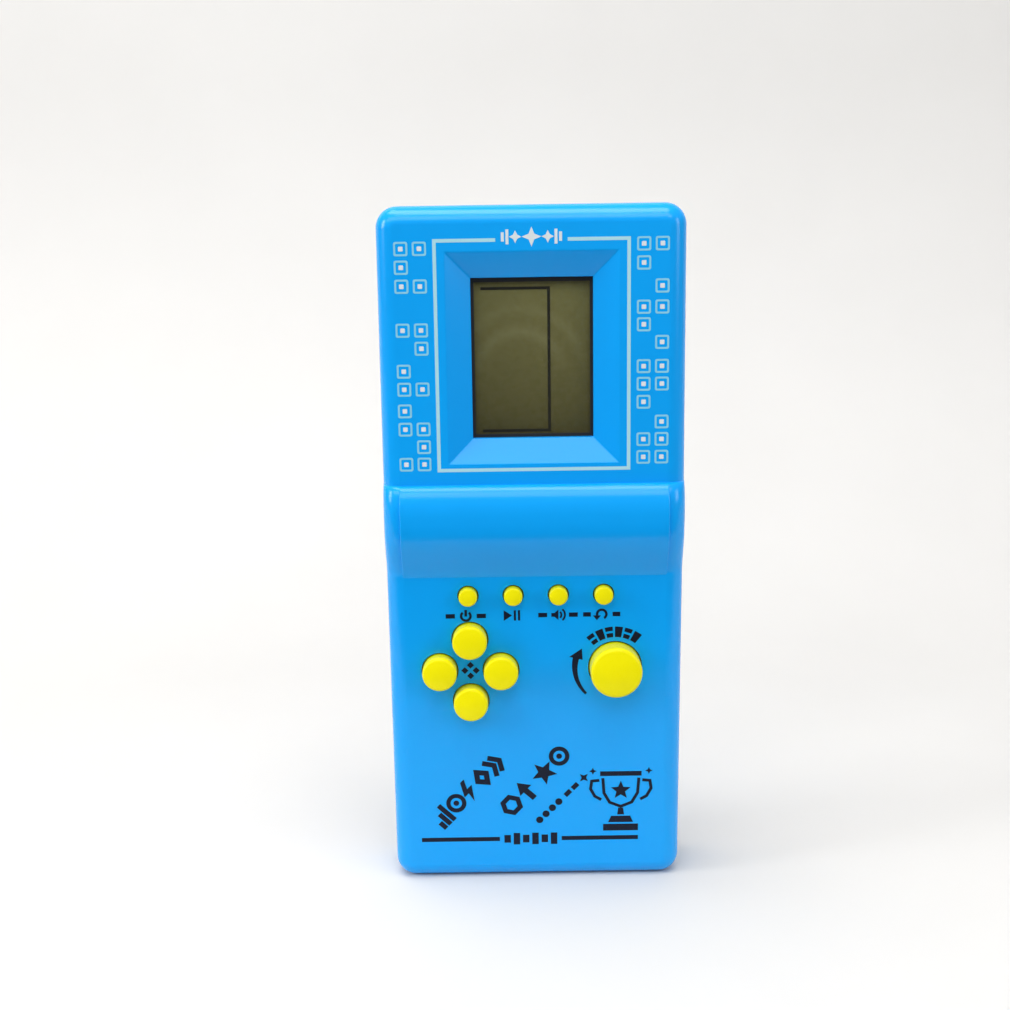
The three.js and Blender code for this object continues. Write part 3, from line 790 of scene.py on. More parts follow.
def buildRearCase():
    form, rear = caseForm, rearForm
    edge = form["parting"] + form["gap"] / 2
    inside = form["back"] - form["wall"] + 0.2
    case = addBlock("rearCase", (-form["half"], edge, 0), (form["half"], form["back"], form["height"]))
    roundPlan(case, form["corner"])
    roundRim(case, form["back"], form["backRound"], form["backRound"])
    openFace(case, edge)
    thicken(case, form["wall"])
    wide = rear["boxHalf"] + rear["boxWall"]
    join(case, addBlock("boxTool", (-wide, rear["boxFront"] - 1, rear["boxLow"] - rear["boxWall"]),
                        (wide, inside, rear["boxHigh"] + rear["boxWall"])))
    rim = rear["rimWide"]
    join(case, addBlock("seatTool", (-rear["lidHalf"] - rim, rear["rimDeep"], rear["lidLow"] - rim),
                        (rear["lidHalf"] + rim, inside, rear["lidHigh"] + rim)))
    join(case, addRod("speakerTool", rear["speakerRing"], 0, rear["speakerZ"], 8, inside))
    for x, z in caseScrewPlaces:
        join(case, addRod("bossTool", 3.2, x, z, edge, inside, 32))
    join(case, buildLip(edge))
    cut(case, addBlock("boxInner", (-rear["boxHalf"], rear["boxFront"], rear["boxLow"]),
                       (rear["boxHalf"], form["back"] + 1, rear["boxHigh"])))
    pocket = addBlock("pocketTool", (-rear["lidHalf"], rear["lidSeat"], rear["lidLow"]),
                      (rear["lidHalf"], form["back"] + 1, rear["lidHigh"]))
    cut(case, pocket)
    axisY, axisZ = rear["pinAxis"]
    reach = rear["lidHalf"] + 1
    cut(case, addRodAcross("pinTool", rear["pinHole"], axisY, axisZ, -reach, reach))
    scoop = addRodAcross("scoopTool", rear["scoop"], form["back"] + rear["scoopOut"],
                         rear["lidHigh"] + 0.6, -rear["scoopHalf"], rear["scoopHalf"], 48)
    softenEdges(scoop, 1.6, 5, 60)
    cut(case, scoop)
    cut(case, addRod("speakerInner", rear["speakerHole"], 0, rear["speakerZ"],
                     7, form["back"] - form["wall"]))
    for row in range(-2, 3):
        z = rear["speakerZ"] + row * rear["slotPitch"]
        reach = 9.5 - abs(row) * 1.6
        slotTool = addBlock("slotTool", (-reach, 8, z - rear["slotHalf"]),
                            (reach, form["back"] + 1, z + rear["slotHalf"]))
        roundPlan(slotTool, rear["slotHalf"] - 0.02, 6)
        cut(case, slotTool)
    for x, z in caseScrewPlaces:
        cut(case, addRod("wellTool", rear["well"], x, z, rear["wellFloor"], form["back"] + 1, 48))
        cut(case, addRod("shankTool", 1.6, x, z, edge - 1, rear["wellFloor"] + 1, 24))
    for z in rear["tabPlaces"]:
        cut(case, addBlock("tabTool", (-rear["boxHalf"] - 2, 3.7, z - 1.8),
                           (-rear["boxHalf"] + 1, 6.3, z + 1.8)))
    cleanMesh(case)

    def onBack(edge):
        if not all(abs(end.y - form["back"]) < 0.01 for end in ends(edge)):
            return False
        return edge.calc_face_angle(0) > 0.6

    print("back edges:", pick(case, "EDGE", onBack))
    bevelPicked(0.18, 2)
    cleanMesh(case)
    smoothShade(case, 30)
    return finishPiece(case, "case", shellBlue, ["rear_shell"])


rearCase = buildRearCase()
print("back half done:", len(rearCase.data.polygons), "faces")

# battery lid: plate with a rolled lower edge, pins, and thumb ribs, in mm

lidForm = dict(
    half=29.7, low=122.0, high=158.0, inner=13.15, pin=0.6, pinLong=0.9,
    ribHalf=7.0, ribs=3, ribPitch=2.0, ribMiddle=151.5, arrowZ=144.5, arrow=2.6,
)


def buildLid():
    form = lidForm
    back = caseForm["back"]
    lid = addBlock("batteryLid", (-form["half"], form["inner"], form["low"]),
                   (form["half"], back, form["high"]))

    def lowerEdge(edge):
        a, b = ends(edge)
        return abs(a.x - b.x) > 1 and all(abs(end.z - form["low"]) < 0.01 for end in (a, b))

    def upperCorner(edge):
        a, b = ends(edge)
        return abs(a.y - b.y) > 0.5 and all(
            abs(abs(end.x) - form["half"]) < 0.01 and end.z > form["high"] - 0.01 for end in (a, b))

    pick(lid, "EDGE", lowerEdge)
    bevelPicked((back - form["inner"]) / 2 - 0.02, 8)
    pick(lid, "EDGE", upperCorner)
    bevelPicked(1.0, 5)
    axisY, axisZ = rearForm["pinAxis"]
    reach = form["half"] + form["pinLong"]
    pin = addRodAcross("pinTool", form["pin"], axisY, axisZ, -reach, reach)
    softenEdges(pin, 0.15, 2)
    join(lid, pin)
    for row in range(form["ribs"]):
        z = form["ribMiddle"] + (row - 1) * form["ribPitch"]
        groove = addBlock("grooveTool", (-form["ribHalf"], back - 0.5, z - 0.5),
                          (form["ribHalf"], back + 1, z + 0.5))
        roundPlan(groove, 0.48, 5)
        cut(lid, groove)
    deselect()
    bpy.ops.mesh.primitive_cylinder_add(
        vertices=3, radius=form["arrow"] * mm, depth=1 * mm, rotation=(math.pi / 2, 0, 0),
        location=(0, (back + 0.1) * mm, form["arrowZ"] * mm))
    cut(lid, settle(bpy.context.object))
    cleanMesh(lid)

    def outer(edge):
        return all(abs(end.y - back) < 0.01 for end in ends(edge)) and edge.calc_face_angle(0) > 0.6

    pick(lid, "EDGE", outer)
    bevelPicked(0.15, 2)
    smoothShade(lid, 30)
    return finishPiece(lid, "door", shellBlue, ["battery_door"])


batteryLid = buildLid()
print("battery lid done")

# buttons: flange, straight side, rounded edge, shallow dome

def modelButton(name, form, length):
    # stands at the origin with its dome at y = 0 and the back of its flange at y = length
    flangeThick = 0.9
    button = addRod(name, form["flange"], 0, 0, length - flangeThick, length, 72)
    pick(button, "FACE", lambda face: face.normal.y < -0.9)
    bpy.ops.mesh.inset(thickness=(form["flange"] - form["radius"]) * mm)
    sideTop = form["dome"]
    bpy.ops.mesh.extrude_region_move(
        TRANSFORM_OT_translate={"value": (0, (sideTop - (length - flangeThick)) * mm, 0)})
    leaveEdit()
    rings = 5
    flat = form["radius"] - form["edge"]

    def onRim(edge):
        return all(abs(end.y - sideTop) < 0.01 for end in ends(edge)) and all(
            abs(math.hypot(end.x, end.z) - form["radius"]) < 0.02 for end in ends(edge))

    def inTop(face):
        return face.normal.y < -0.99 and len(face.verts) > 8 and all(
            math.hypot(vert.co.x, vert.co.z) / mm < flat + 0.05 for vert in face.verts)

    def domeRise(share):
        return form["dome"] * math.cos(math.pi / 2 * (1 - share))

    pick(button, "EDGE", onRim)
    bevelPicked(form["edge"], 7)
    for ring in range(1, rings + 1):
        pick(button, "FACE", inTop)
        bpy.ops.mesh.inset(thickness=flat / (rings + 0.6) * mm)
        rise = domeRise(ring / rings) - domeRise((ring - 1) / rings)
        bpy.ops.transform.translate(value=(0, -rise * mm, 0))
        leaveEdit()
    return button


def buildButtons():
    models = {}
    for name, size in buttonSizes.items():
        form = buttonForms[size]
        low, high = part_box("button_" + name)
        if size not in models:
            models[size] = modelButton("model_" + size, form, (high[1] - low[1]) / mm)
        button = models[size].copy()
        button.data = models[size].data.copy()
        button.name = "cap_" + name
        bpy.context.scene.collection.objects.link(button)
        button.location = ((low[0] + high[0]) / 2, low[1], (low[2] + high[2]) / 2)
        settle(button)
        smoothShade(button, 40)
        finishPiece(button, "button_" + name, buttonYellow, ["button_" + name])
    for model in models.values():
        bpy.data.objects.remove(model, do_unlink=True)


buildButtons()
print("buttons done:", len(buttonSizes))

# printed marks: flat curves filled, made a mesh and laid on the face

inkForm = dict(thick=0.03)


def circlePoints(x, z, radius, start=0, stop=360, steps=36):
    closed = abs(stop - start) >= 360
    count = steps if closed else steps + 1
    turns = [math.radians(start + (stop - start) * step / steps) for step in range(count)]
    return [(x + radius * math.cos(turn), z + radius * math.sin(turn)) for turn in turns]


def barPoints(x0, z0, x1, z1):
    return [(x0, z0), (x1, z0), (x1, z1), (x0, z1)]


def strokePoints(path, width):
    # outline of an open line with a mitred bend at each inner point
    left, right = [], []
    for index, point in enumerate(path):
        here = Vector(point)
        before = (here - Vector(path[index - 1])).normalized() if index else None
        after = (Vector(path[index + 1]) - here).normalized() if index + 1 < len(path) else None
        along = (before + after).normalized() if before and after else (before or after)
        side = Vector((-along.y, along.x))
        reach = width / 2
        if before and after:
            reach /= max(0.35, side.dot(Vector((-after.y, after.x))))
        left.append(tuple(here + side * reach))
        right.append(tuple(here - side * reach))
    return left + right[::-1]


def turnShapes(shapes, angle, move):
    along, up = math.cos(math.radians(angle)), math.sin(math.radians(angle))
    return [[(move[0] + x * along - z * up, move[1] + x * up + z * along) for x, z in shape]
            for shape in shapes]


def planeAt(depth):
    return Matrix(((1, 0, 0, 0), (0, 0, -1, depth * mm), (0, 1, 0, 0), (0, 0, 0, 1)))


slope = math.atan2(caseForm["keypadBottom"] - caseForm["keypadTop"], caseForm["rollFoot"])
screenPlane = planeAt(caseForm["screen"])
keypadPlane = Matrix((
    (1, 0, 0, 0),
    (0, -math.sin(slope), -math.cos(slope), caseForm["keypadBottom"] * mm),
    (0, math.cos(slope), -math.sin(slope), 0),
    (0, 0, 0, 1)))


def layInk(name, shapes, plane, material, thick=None):
    drawing = bpy.data.curves.new(name, "CURVE")
    drawing.dimensions = "2D"
    drawing.fill_mode = "BOTH"
    drawing.extrude = (thick or inkForm["thick"]) * mm
    for shape in shapes:
        line = drawing.splines.new("POLY")
        line.points.add(len(shape) - 1)
        for point, (x, z) in zip(line.points, shape):
            point.co = (x * mm, z * mm, 0, 1)
        line.use_cyclic_u = True
    ink = bpy.data.objects.new(name, drawing)
    bpy.context.scene.collection.objects.link(ink)
    focus(ink)
    bpy.ops.object.convert(target="MESH")
    ink = bpy.context.object
    ink.matrix_world = plane
    settle(ink)
    return finishPiece(ink, "case", material)


# squares beside the screen: one outlined square with a solid middle, repeated in loose groups

squareForm = dict(half=1.46, line=0.46, middle=0.55, round=0.5, innerX=26.9, outerX=31.35)
leftSquares = dict(
    inner=(164.9, 156.0, 145.5, 141.1, 131.2, 121.4, 117.0, 112.7),
    outer=(164.9, 160.5, 156.0, 145.5, 135.6, 131.2, 125.9, 121.4, 112.7),
)
rightSquares = dict(
    inner=(165.4, 160.9, 150.4, 146.2, 136.1, 131.8, 127.4, 118.2, 113.8),
    outer=(165.4, 155.4, 150.4, 141.9, 136.1, 131.8, 122.5, 118.2, 113.8),
)


def roundedSquare(x, z, half, radius):
    points = []
    for quarter, (a, b) in enumerate(((1, 1), (-1, 1), (-1, -1), (1, -1))):
        centreX, centreZ = x + a * (half - radius), z + b * (half - radius)
        points += circlePoints(centreX, centreZ, radius, 90 * quarter, 90 * quarter + 90, 4)
    return points


def squarePlaces(columns, side):
    form = squareForm
    inner = [(side * form["innerX"], z) for z in columns["inner"]]
    outer = [(side * form["outerX"], z) for z in columns["outer"]]
    return inner + outer


def laySquares(name, columns, side):
    form = squareForm
    rings, middles = [], []
    for x, z in squarePlaces(columns, side):
        rings.append(roundedSquare(x, z, form["half"] + form["line"] / 2, form["round"]))
        rings.append(roundedSquare(x, z, form["half"] - form["line"] / 2, form["round"] * 0.5))
        middles.append(roundedSquare(x, z, form["middle"], form["round"] * 0.4))
    layInk("squareRings" + name, rings, screenPlane, paleInk)
    layInk("squareMiddles" + name, middles, screenPlane, whiteInk)


laySquares("Left", leftSquares, -1)
laySquares("Right", rightSquares, 1)

# white line round the screen, open at the top round a small ornament

frameForm = dict(half=23.3, low=111.1, high=166.7, line=0.85, openHalf=8.65)


def frameShapes():
    form = frameForm
    half, line = form["half"], form["line"]
    path = [(-form["openHalf"], form["high"]), (-half, form["high"]), (-half, form["low"]),
            (half, form["low"]), (half, form["high"]), (form["openHalf"], form["high"])]
    return [strokePoints(path, line)]


def starPoints(x, z, outer, inner, points=4):
    shape = []
    for step in range(points * 2):
        radius = inner if step % 2 else outer
        turn = math.pi / 2 + math.pi * step / points
        shape.append((x + radius * math.cos(turn), z + radius * math.sin(turn)))
    return shape


def ornamentShapes():
    z = frameForm["high"] + 0.7
    shapes = [starPoints(0, z, 2.35, 0.95)]
    for side in (-1, 1):
        shapes.append(starPoints(side * 3.9, z, 1.5, 0.7))
        for reach, tall in ((5.5, 1.75), (6.6, 1.1)):
            near, far = side * reach, side * (reach + 0.7)
            shapes.append(barPoints(min(near, far), z - tall, max(near, far), z + tall))
    return shapes


layInk("screenFrame", frameShapes(), screenPlane, lineInk)
layInk("screenOrnament", ornamentShapes(), screenPlane, whiteInk)

# labels under the four small buttons, as plain symbols between short bars

labelForm = dict(z=73.35, bar=1.15)


def powerShapes(x, z):
    outer = circlePoints(x, z, 1.5, 130, 410, 30)
    inner = circlePoints(x, z, 0.88, 130, 410, 30)
    return [outer + inner[::-1], barPoints(x - 0.33, z - 0.1, x + 0.33, z + 1.65)]


def playShapes(x, z):
    return [[(x - 2.0, z - 1.4), (x + 0.1, z), (x - 2.0, z + 1.4)],
            barPoints(x + 0.55, z - 1.35, x + 1.1, z + 1.35),
            barPoints(x + 1.6, z - 1.35, x + 2.15, z + 1.35)]


def soundShapes(x, z):
    horn = [(x - 1.7, z - 0.5), (x - 0.9, z - 0.5), (x + 0.1, z - 1.4),
            (x + 0.1, z + 1.4), (x - 0.9, z + 0.5), (x - 1.7, z + 0.5)]
    waves = [strokePoints(circlePoints(x - 0.2, z, radius, -48, 48, 8), 0.48) for radius in (1.05, 1.95)]
    return [horn] + waves


def resetShapes(x, z):
    outer = circlePoints(x, z, 1.5, -60, 195, 26)
    inner = circlePoints(x, z, 0.88, -60, 195, 26)
    tip = [(x - 2.25, z - 0.3), (x - 0.2, z - 0.3), (x - 1.2, z - 1.6)]
    return [outer + inner[::-1], tip]


def labelShapes():
    z = labelForm["z"]
    half = labelForm["bar"] / 2
    shapes = []
    for centre, reach, symbol in ((-17.6, 5.1, powerShapes), (-6.0, 2.15, playShapes),
                                  (5.75, 5.0, soundShapes), (16.8, 4.7, resetShapes)):
        shapes += symbol(centre, z)
        if reach > 3:
            for side in (-1, 1):
                near, far = centre + side * 2.75, centre + side * reach
                shapes.append(barPoints(min(near, far), z - half, max(near, far), z + half))
    return shapes


layInk("buttonLabels", labelShapes(), keypadPlane, blackInk)

# four-way mark in the middle of the direction buttons, arc marks and turning arrow by the large one

dialForm = dict(
    markIn=8.1, markOut=10.9, markFrom=-44, markTo=40, marks=6, markSpread=5.4, arrow=10.3,
    fourAway=1.45, fourReach=0.92,
)


def fourWayShapes(x, z):
    away, reach = dialForm["fourAway"], dialForm["fourReach"]
    return [circlePoints(x + a * away, z + b * away, reach, 0, 360, 4)
            for a, b in ((0, 1), (0, -1), (1, 0), (-1, 0))]


def dialShapes(x, z):
    form = dialForm
    shapes = []
    for mark in range(form["marks"]):
        lean = form["markFrom"] + (form["markTo"] - form["markFrom"]) * (mark + 0.5) / form["marks"]
        turn = 90 - lean
        spread = form["markSpread"]
        outer = circlePoints(x, z, form["markOut"], turn - spread, turn + spread, 4)
        inner = circlePoints(x, z, form["markIn"], turn - spread, turn + spread, 4)
        if mark % 2:
            shapes.append(outer + inner[::-1])
        else:
            low = circlePoints(x, z, form["markIn"] + 1.1, turn - spread, turn + spread, 4)
            high = circlePoints(x, z, form["markOut"] - 1.1, turn - spread, turn + spread, 4)
            shapes += [outer + high[::-1], low + inner[::-1]]
    # the arrow tapers from its tail to its head
    steps = 16
    outer, inner = [], []
    for step in range(steps + 1):
        share = step / steps
        turn = math.radians(224 - 58 * share)
        width = 0.65 + 1.0 * share
        for side, line in ((1, outer), (-1, inner)):
            radius = form["arrow"] + side * width / 2
            line.append((x + radius * math.cos(turn), z + radius * math.sin(turn)))
    shapes.append(outer + inner[::-1])
    headTurn = 166
    base = circlePoints(x, z, form["arrow"] - 1.75, headTurn, headTurn + 1, 1)[0]
    wide = circlePoints(x, z, form["arrow"] + 1.75, headTurn, headTurn + 1, 1)[0]
    point = circlePoints(x, z, form["arrow"] - 0.4, headTurn - 17, headTurn - 16, 1)[0]
    shapes.append([base, wide, point])
    return shapes


padX, padZ = buttonPlace("up")[0], buttonPlace("left")[1]
actionX, actionZ = buttonPlace("action")
layInk("fourWayMark", fourWayShapes(padX, padZ), keypadPlane, blackInk)
layInk("dialMarks", dialShapes(actionX, actionZ), keypadPlane, blackInk)

# slanted rows of heavy block ornaments across the lower face

rowForm = dict(
    first=dict(start=(-24.2, 14.0), angle=46.5, high=6.3, pitch=5.05),
    second=dict(start=(-6.4, 16.6), angle=47.5, high=6.4, pitch=6.3),
    third=dict(start=(0.9, 15.0), angle=45.6, high=2.7, pitch=2.4),
    heavy=1.35,
)


def barsGlyph(high, heavy):
    # three bars of rising height
    return [barPoints(index * 1.65, 0.2, index * 1.65 + heavy, high * share)
            for index, share in enumerate((0.4, 0.68, 0.97))]


def targetGlyph(high, heavy):
    reach = high * 0.42
    centre = high / 2
    return [circlePoints(reach, centre, reach), circlePoints(reach, centre, reach - heavy * 0.85),
            circlePoints(reach, centre, 0.75)]


def boltGlyph(high, heavy):
    return [[(2.5, high), (0.3, high * 0.42), (1.9, high * 0.42), (1.3, 0),
             (4.2, high * 0.6), (2.5, high * 0.6), (3.9, high)]]


def gemGlyph(high, heavy):
    wide, tall = high * 0.4, high / 2
    shrink = 1 - heavy * 1.35 / wide
    turns = (0, math.pi / 2, math.pi, 1.5 * math.pi)
    return [[(wide + size * wide * math.cos(turn), tall + size * tall * math.sin(turn))
             for turn in turns] for size in (1, shrink)]


def arrowsGlyph(high, heavy):
    return [strokePoints([(0.4 + shift, 0.5), (2.1 + shift, high / 2), (0.4 + shift, high - 0.5)], heavy)
            for shift in (0, 2.0)]


def nutGlyph(high, heavy):
    reach = high * 0.48
    return [circlePoints(reach, high / 2, size, 0, 360, 6) for size in (reach, reach - heavy * 1.1)]


def rocketGlyph(high, heavy):
    middle = 2.3
    return [[(middle, high), (middle + 2.1, high * 0.5), (middle + 0.8, high * 0.5), (middle + 0.8, 0),
             (middle - 0.8, 0), (middle - 0.8, high * 0.5), (middle - 2.1, high * 0.5)]]


def starGlyph(high, heavy):
    return [starPoints(high * 0.46, high * 0.47, high * 0.54, high * 0.24, 5)]


def glyphRow(form, glyphs):
    shapes = []
    for index, glyph in enumerate(glyphs):
        drawn = glyph(form["high"], rowForm["heavy"])
        moved = [[(x + index * form["pitch"], z) for x, z in shape] for shape in drawn]
        shapes += turnShapes(moved, form["angle"], form["start"])
    return shapes


def dotRow(form):
    # four dots, two dashes and a small spark
    middle = form["high"] / 2
    shapes = [circlePoints(1 + index * form["pitch"], middle, 0.95, 0, 360, 20) for index in range(4)]
    for index in range(2):
        x = 10.6 + index * 2.7
        shapes.append(barPoints(x, middle - 0.65, x + 2.0, middle + 0.65))
    shapes.append(starPoints(17.6, middle, 1.45, 0.6))
    return turnShapes(shapes, form["angle"], form["start"])


firstGlyphs = [barsGlyph, targetGlyph, boltGlyph, gemGlyph, arrowsGlyph]
secondGlyphs = [nutGlyph, rocketGlyph, starGlyph, targetGlyph]
layInk("rowFirst", glyphRow(rowForm["first"], firstGlyphs), keypadPlane, blackInk)
layInk("rowSecond", glyphRow(rowForm["second"], secondGlyphs), keypadPlane, blackInk)
layInk("rowThird", dotRow(rowForm["third"]), keypadPlane, blackInk)

# lower line with a row of small blocks in its gap

footForm = dict(
    z=11.3, line=1.15, left=(-30.5, -9.9), right=(6.4, 26.5),
    blocks=6, blockHalf=0.85, tall=1.65, short=1.1,
)


def footShapes():
    form = footForm
    half = form["line"] / 2
    z = form["z"]
    shapes = [barPoints(a, z - half, b, z + half) for a, b in (form["left"], form["right"])]
    start, stop = form["left"][1] + 0.8, form["right"][0] - 0.8
    for index in range(form["blocks"]):
        x = start + (stop - start) * (index + 0.5) / form["blocks"]
        tall = form["tall"] if index % 2 else form["short"]
        shapes.append(barPoints(x - form["blockHalf"], z - tall, x + form["blockHalf"], z + tall))
    return shapes


layInk("footLine", footShapes(), keypadPlane, blackInk)

# a trophy cup in line work at the lower right

cupForm = dict(x=21.9, z=13.3, line=0.8)


def cupShapes():
    x, z, line = cupForm["x"], cupForm["z"], cupForm["line"]
    shapes = [barPoints(x - 4.6, z, x + 4.6, z + 1.9),
              [(x - 3.3, z + 2.4), (x + 3.3, z + 2.4), (x + 2.5, z + 4.2), (x - 2.5, z + 4.2)],
              [(x - 0.9, z + 4.6), (x + 0.9, z + 4.6), (x + 0.65, z + 6.5), (x - 0.65, z + 6.5)]]
    bowl = [(x - 4.7, z + 15.0), (x - 4.4, z + 10.8), (x - 2.9, z + 8.1), (x, z + 6.9),
            (x + 2.9, z + 8.1), (x + 4.4, z + 10.8), (x + 4.7, z + 15.0)]
    shapes.append(strokePoints(bowl, line))
    shapes.append(barPoints(x - 5.4, z + 15.6, x + 5.4, z + 16.9))
    for side in (-1, 1):
        ear = [(x + side * 5.6, z + 14.4), (x + side * 7.6, z + 14.2), (x + side * 7.9, z + 12.0),
               (x + side * 6.8, z + 9.9), (x + side * 5.1, z + 8.9)]
        shapes.append(strokePoints(ear, line))
        shapes.append(starPoints(x + side * 7.3, z + 17.0, 1.0, 0.42, 4))
    shapes.append(starPoints(x, z + 11.5, 2.7, 1.2, 5))
    return shapes


layInk("cupMark", cupShapes(), keypadPlane, blackInk)
print("printed marks done")

# display: black sheet round the glass as a painted shadow of the gap between window and glass, and the
# dark bracket of the play field

displayForm = dict(
    maskHalf=16.5, maskOpen=14.15, maskLow=117.0, maskHigh=159.2, openLow=119.3, openHigh=156.6,
)
bracketForm = dict(left=-12.5, right=4.15, low=119.95, high=155.0, line=0.7)


def buildDisplay():
    mask, mark = displayForm, bracketForm
    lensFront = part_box("screen_lens")[0][1] / mm
    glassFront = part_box("lcd_front_glass")[0][1] / mm
    shapes = [barPoints(-mask["maskHalf"], mask["maskLow"], mask["maskHalf"], mask["maskHigh"]),
              barPoints(-mask["maskOpen"], mask["openLow"], mask["maskOpen"], mask["openHigh"])]
    # painted shadow: a black sheet on the lens where the gap between window and glass lies in shade
    layInk("windowShadowMask", shapes, planeAt(lensFront - 0.06), windowShadowBlack, 0.05)
    path = [(mark["left"], mark["high"]), (mark["right"], mark["high"]),
            (mark["right"], mark["low"]), (mark["left"], mark["low"])]
    layInk("playFieldLine", [strokePoints(path, mark["line"])], planeAt(glassFront - 0.05),
           lcdInk, 0.02)


buildDisplay()
print("display done")

# what shows from the back: screws, cells and springs

screwForm = dict(
    head=2.5, headLong=1.9, shank=1.2, shankEnd=-2.6, cross=0.45, crossReach=1.5, crossDeep=1.1,
)


def modelCaseScrew():
    form = screwForm
    seat = rearForm["wellFloor"] + caseForm["gap"]
    top = seat + form["headLong"]
    screw = addRod("screwModel", form["head"], 0, 0, seat, top, 40)
    pick(screw, "EDGE", lambda edge: all(abs(end.y - top) < 0.01 for end in ends(edge)))
    bevelPicked(0.8, 5)
    pick(screw, "FACE", lambda face: face.normal.y < -0.9)
    bpy.ops.mesh.inset(thickness=(form["head"] - form["shank"]) * mm)
    bpy.ops.mesh.extrude_region_move(
        TRANSFORM_OT_translate={"value": (0, (form["shankEnd"] - seat) * mm, 0)})
    leaveEdit()
    for wide, tall in ((form["cross"], form["crossReach"]), (form["crossReach"], form["cross"])):
        cut(screw, addBlock("crossTool", (-wide, top - form["crossDeep"], -tall), (wide, top + 1, tall)))
    softenEdges(screw, 0.08, 2)
    return screw


cellForm = dict(long=49.5, radius=7.1, edge=0.6, shoulder=5.6, sunk=0.35, nub=2.75, nubLong=1.35)


def modelCell():
    # lies at the origin along X with its raised end at +X
    form = cellForm
    long, radius = form["long"], form["radius"]
    cell = addRodAcross("cellModel", radius, 0, 0, -long / 2, long / 2, 64)
    pick(cell, "EDGE", lambda edge: all(
        abs(end.x - ends(edge)[0].x) < 0.01 and abs(abs(end.x) - long / 2) < 0.01 for end in ends(edge)))
    bevelPicked(form["edge"], 4)
    pick(cell, "FACE", lambda face: face.normal.x > 0.99 and len(face.verts) > 8)
    bpy.ops.mesh.inset(thickness=(radius - form["edge"] - form["shoulder"]) * mm)
    bpy.ops.transform.translate(value=(-form["sunk"] * mm, 0, 0))
    bpy.ops.mesh.inset(thickness=(form["shoulder"] - form["nub"]) * mm)
    bpy.ops.mesh.extrude_region_move(TRANSFORM_OT_translate={"value": (form["nubLong"] * mm, 0, 0)})
    leaveEdit()
    softenEdges(cell, 0.2, 3, 50)
    return cell


def copyTo(model, name, place, turn=0):
    piece = model.copy()
    piece.data = model.data.copy()
    piece.name = name
    bpy.context.scene.collection.objects.link(piece)
    piece.location = [value * mm for value in place]
    piece.rotation_euler = (0, 0, turn)
    return smoothShade(settle(piece), 35)


springForm = dict(wire=0.3, radius=4.2, pitch=1.1, turns=3, middleY=5.75)


def modelSpring():
    # a small ring swept round three turns along X
    deselect()
    form = springForm
    bpy.ops.mesh.primitive_circle_add(vertices=10, radius=form["wire"] * mm,
                                      location=(0, 0, form["radius"] * mm),
                                      rotation=(0, math.pi / 2, 0))
    ring = bpy.context.object
    ring.rotation_euler = (math.pi / 2, 0, 0)
    settle(ring)
    sweep = ring.modifiers.new("coil", "SCREW")
    sweep.axis = "X"
    sweep.angle = 2 * math.pi
    sweep.screw_offset = form["pitch"] * mm
    sweep.iterations = form["turns"]
    sweep.steps = 40
    sweep.render_steps = 40
    applyAll(ring)
    return ring


def closeEnds(piece):
    focus(piece)
    bpy.ops.object.mode_set(mode="EDIT")
    bpy.ops.mesh.select_all(action="SELECT")
    bpy.ops.mesh.remove_doubles(threshold=0.005 * mm)
    bpy.ops.mesh.select_all(action="DESELECT")
    bpy.ops.mesh.select_mode(type="EDGE")
    bpy.ops.mesh.select_non_manifold(extend=False)
    bpy.ops.mesh.fill()
    bpy.ops.mesh.select_all(action="SELECT")
    bpy.ops.mesh.normals_make_consistent(inside=False)
    leaveEdit()


def buildBackDetails():
    screw = modelCaseScrew()
    for index, (x, z) in enumerate(caseScrewPlaces):
        piece = copyTo(screw, "screw_%d" % (index + 1), (x, 0, z))
        finishPiece(piece, "case", screwSteel, ["case_screw_%d" % (index + 1)])
    bpy.data.objects.remove(screw, do_unlink=True)
    cell = modelCell()
    for name, turn in (("a", math.pi), ("b", 0)):
        low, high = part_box("cell_" + name)
        side = -1 if turn else 1
        x, y, z = [(a + b) / 2 / mm for a, b in zip(low, high)]
        piece = copyTo(cell, "battery_" + name, (x - side * 0.5, y, z), turn)
        finishPiece(piece, "case", cellSleeve, ["cell_" + name])
    bpy.data.objects.remove(cell, do_unlink=True)
    spring = modelSpring()
    closeEnds(spring)
    reach = [vertex.co.x / mm for vertex in spring.data.vertices]
    middle = (min(reach) + max(reach)) / 2
    for name in ("a", "b"):
        low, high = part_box("spring_" + name)
        x = (low[0] + high[0]) / 2 / mm - middle
        z = (low[2] + high[2]) / 2 / mm
        piece = copyTo(spring, "coil_" + name, (x, springForm["middleY"], z))
        finishPiece(piece, "case", contactSteel, ["spring_" + name])
    bpy.data.objects.remove(spring, do_unlink=True)


buildBackDetails()
print("back details done")

# stage: pale sweep, soft lights

stageForm = dict(                    # metres
    half=1.6, front=-0.13, back=0.42, wallTop=1.5, bend=0.25,
    paper=(0.68, 0.67, 0.655), paperLight=(0.705, 0.695, 0.68),
)


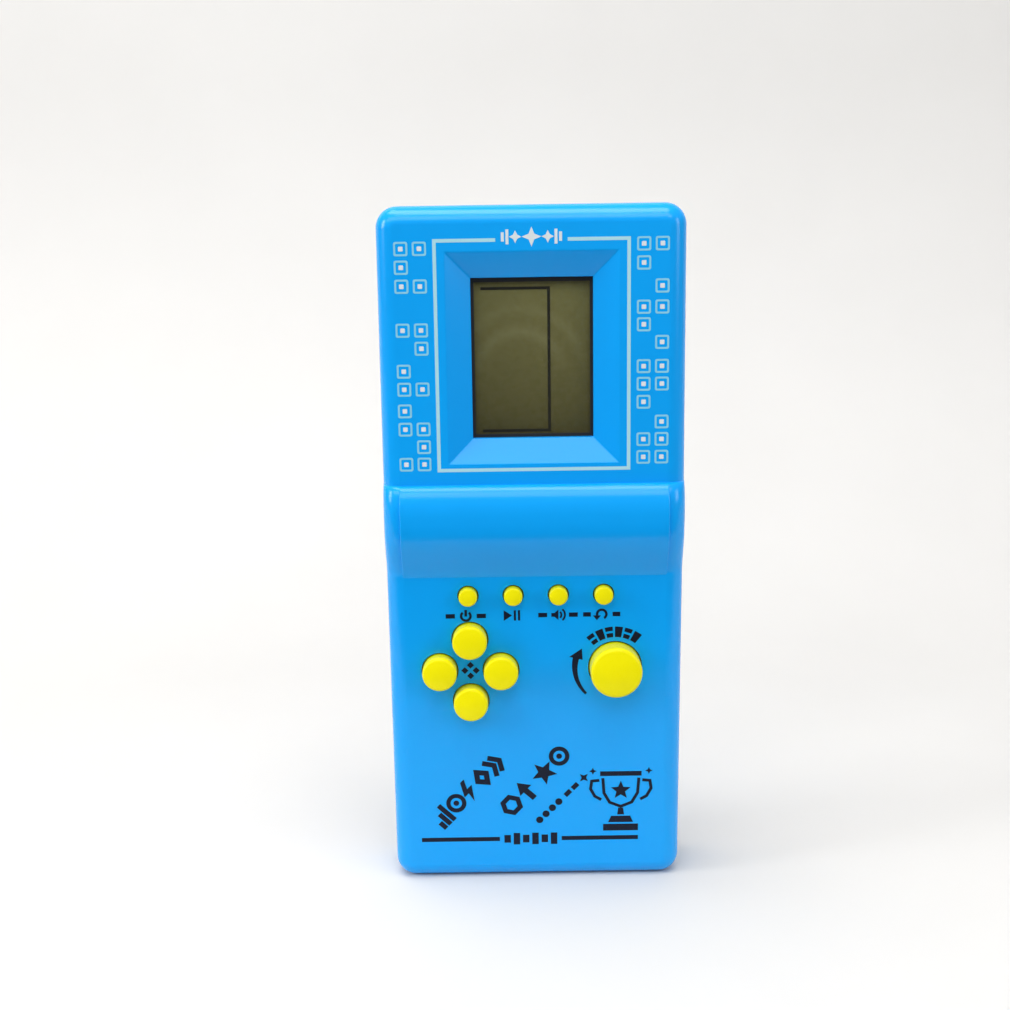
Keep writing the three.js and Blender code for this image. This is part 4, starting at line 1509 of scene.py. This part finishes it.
def buildStage():
    form = stageForm
    deselect()
    bpy.ops.mesh.primitive_plane_add(size=1, location=(0, (form["front"] + form["back"]) / 2, 0))
    sweep = bpy.context.object
    sweep.name = "paleSweep"
    sweep.scale = (2 * form["half"], form["back"] - form["front"], 1)
    settle(sweep)
    pick(sweep, "EDGE", lambda edge: all(vert.co.y > form["back"] - 0.01 for vert in edge.verts))
    bpy.ops.mesh.extrude_region_move(TRANSFORM_OT_translate={"value": (0, 0, form["wallTop"])})
    leaveEdit()
    pick(sweep, "EDGE", lambda edge: all(
        vert.co.y > form["back"] - 0.01 and vert.co.z < 0.01 for vert in edge.verts))
    bpy.ops.mesh.bevel(offset=form["bend"], segments=12, affect="EDGES")
    leaveEdit()
    focus(sweep)
    bpy.ops.object.shade_smooth()
    material, tree, shader, where = newMaterial("palePaper")
    blotch = spreadNoise(tree, where, 120, 3, 0, 1)
    tone = mixNode(tree, blotch, form["paper"], form["paperLight"])
    tree.links.new(tone, shader.inputs["Base Color"])
    shader.inputs["Roughness"].default_value = 0.8
    wear(sweep, material)


lightForms = dict(
    overhead=dict(place=(-0.1, -0.12, 1.05), aim=(0, 0, 0.1), size=(0.9, 0.4), power=6.4),
    frontHigh=dict(place=(-0.08, -0.45, 0.58), aim=(0, 0, 0.12), size=(0.9, 0.25), power=2.0),
    sideLeft=dict(place=(-1.1, -0.35, 0.5), aim=(0, 0, 0.09), size=(0.3, 0.6), power=6.0),
    sideRight=dict(place=(1.1, -0.6, 0.4), aim=(0, 0, 0.09), size=(0.4, 0.5), power=3.3),
)
roomForm = dict(horizon=(0.95, 0.93, 0.89), zenith=(1.0, 1.0, 1.0), low=0.12, high=0.55)


def addLights():
    for name, form in lightForms.items():
        lamp = bpy.data.lights.new(name, "AREA")
        lamp.shape = "RECTANGLE"
        lamp.size, lamp.size_y = form["size"]
        lamp.energy = form["power"]
        light = bpy.data.objects.new(name, lamp)
        bpy.context.scene.collection.objects.link(light)
        place, aim = Vector(form["place"]), Vector(form["aim"])
        light.location = place
        light.rotation_euler = (aim - place).to_track_quat("-Z", "Y").to_euler()


def addRoomLight():
    # a pale room: dim below the horizon, brightest overhead
    world = bpy.data.worlds.new("softRoom")
    world.use_nodes = True
    tree = world.node_tree
    around = tree.nodes.new("ShaderNodeTexCoord")
    split = tree.nodes.new("ShaderNodeSeparateXYZ")
    tree.links.new(around.outputs["Generated"], split.inputs["Vector"])
    rise = rangeNode(tree, split.outputs["Z"], -0.5, 0.9, 0, 1)
    room = tree.nodes["Background"]
    tint = mixNode(tree, rise, roomForm["horizon"], roomForm["zenith"])
    strength = rangeNode(tree, rise, 0, 1, roomForm["low"], roomForm["high"])
    tree.links.new(tint, room.inputs["Color"])
    tree.links.new(strength, room.inputs["Strength"])
    bpy.context.scene.world = world
    bpy.context.scene.view_settings.view_transform = "Standard"


buildStage()
addLights()
addRoomLight()
print("stage and lights done")
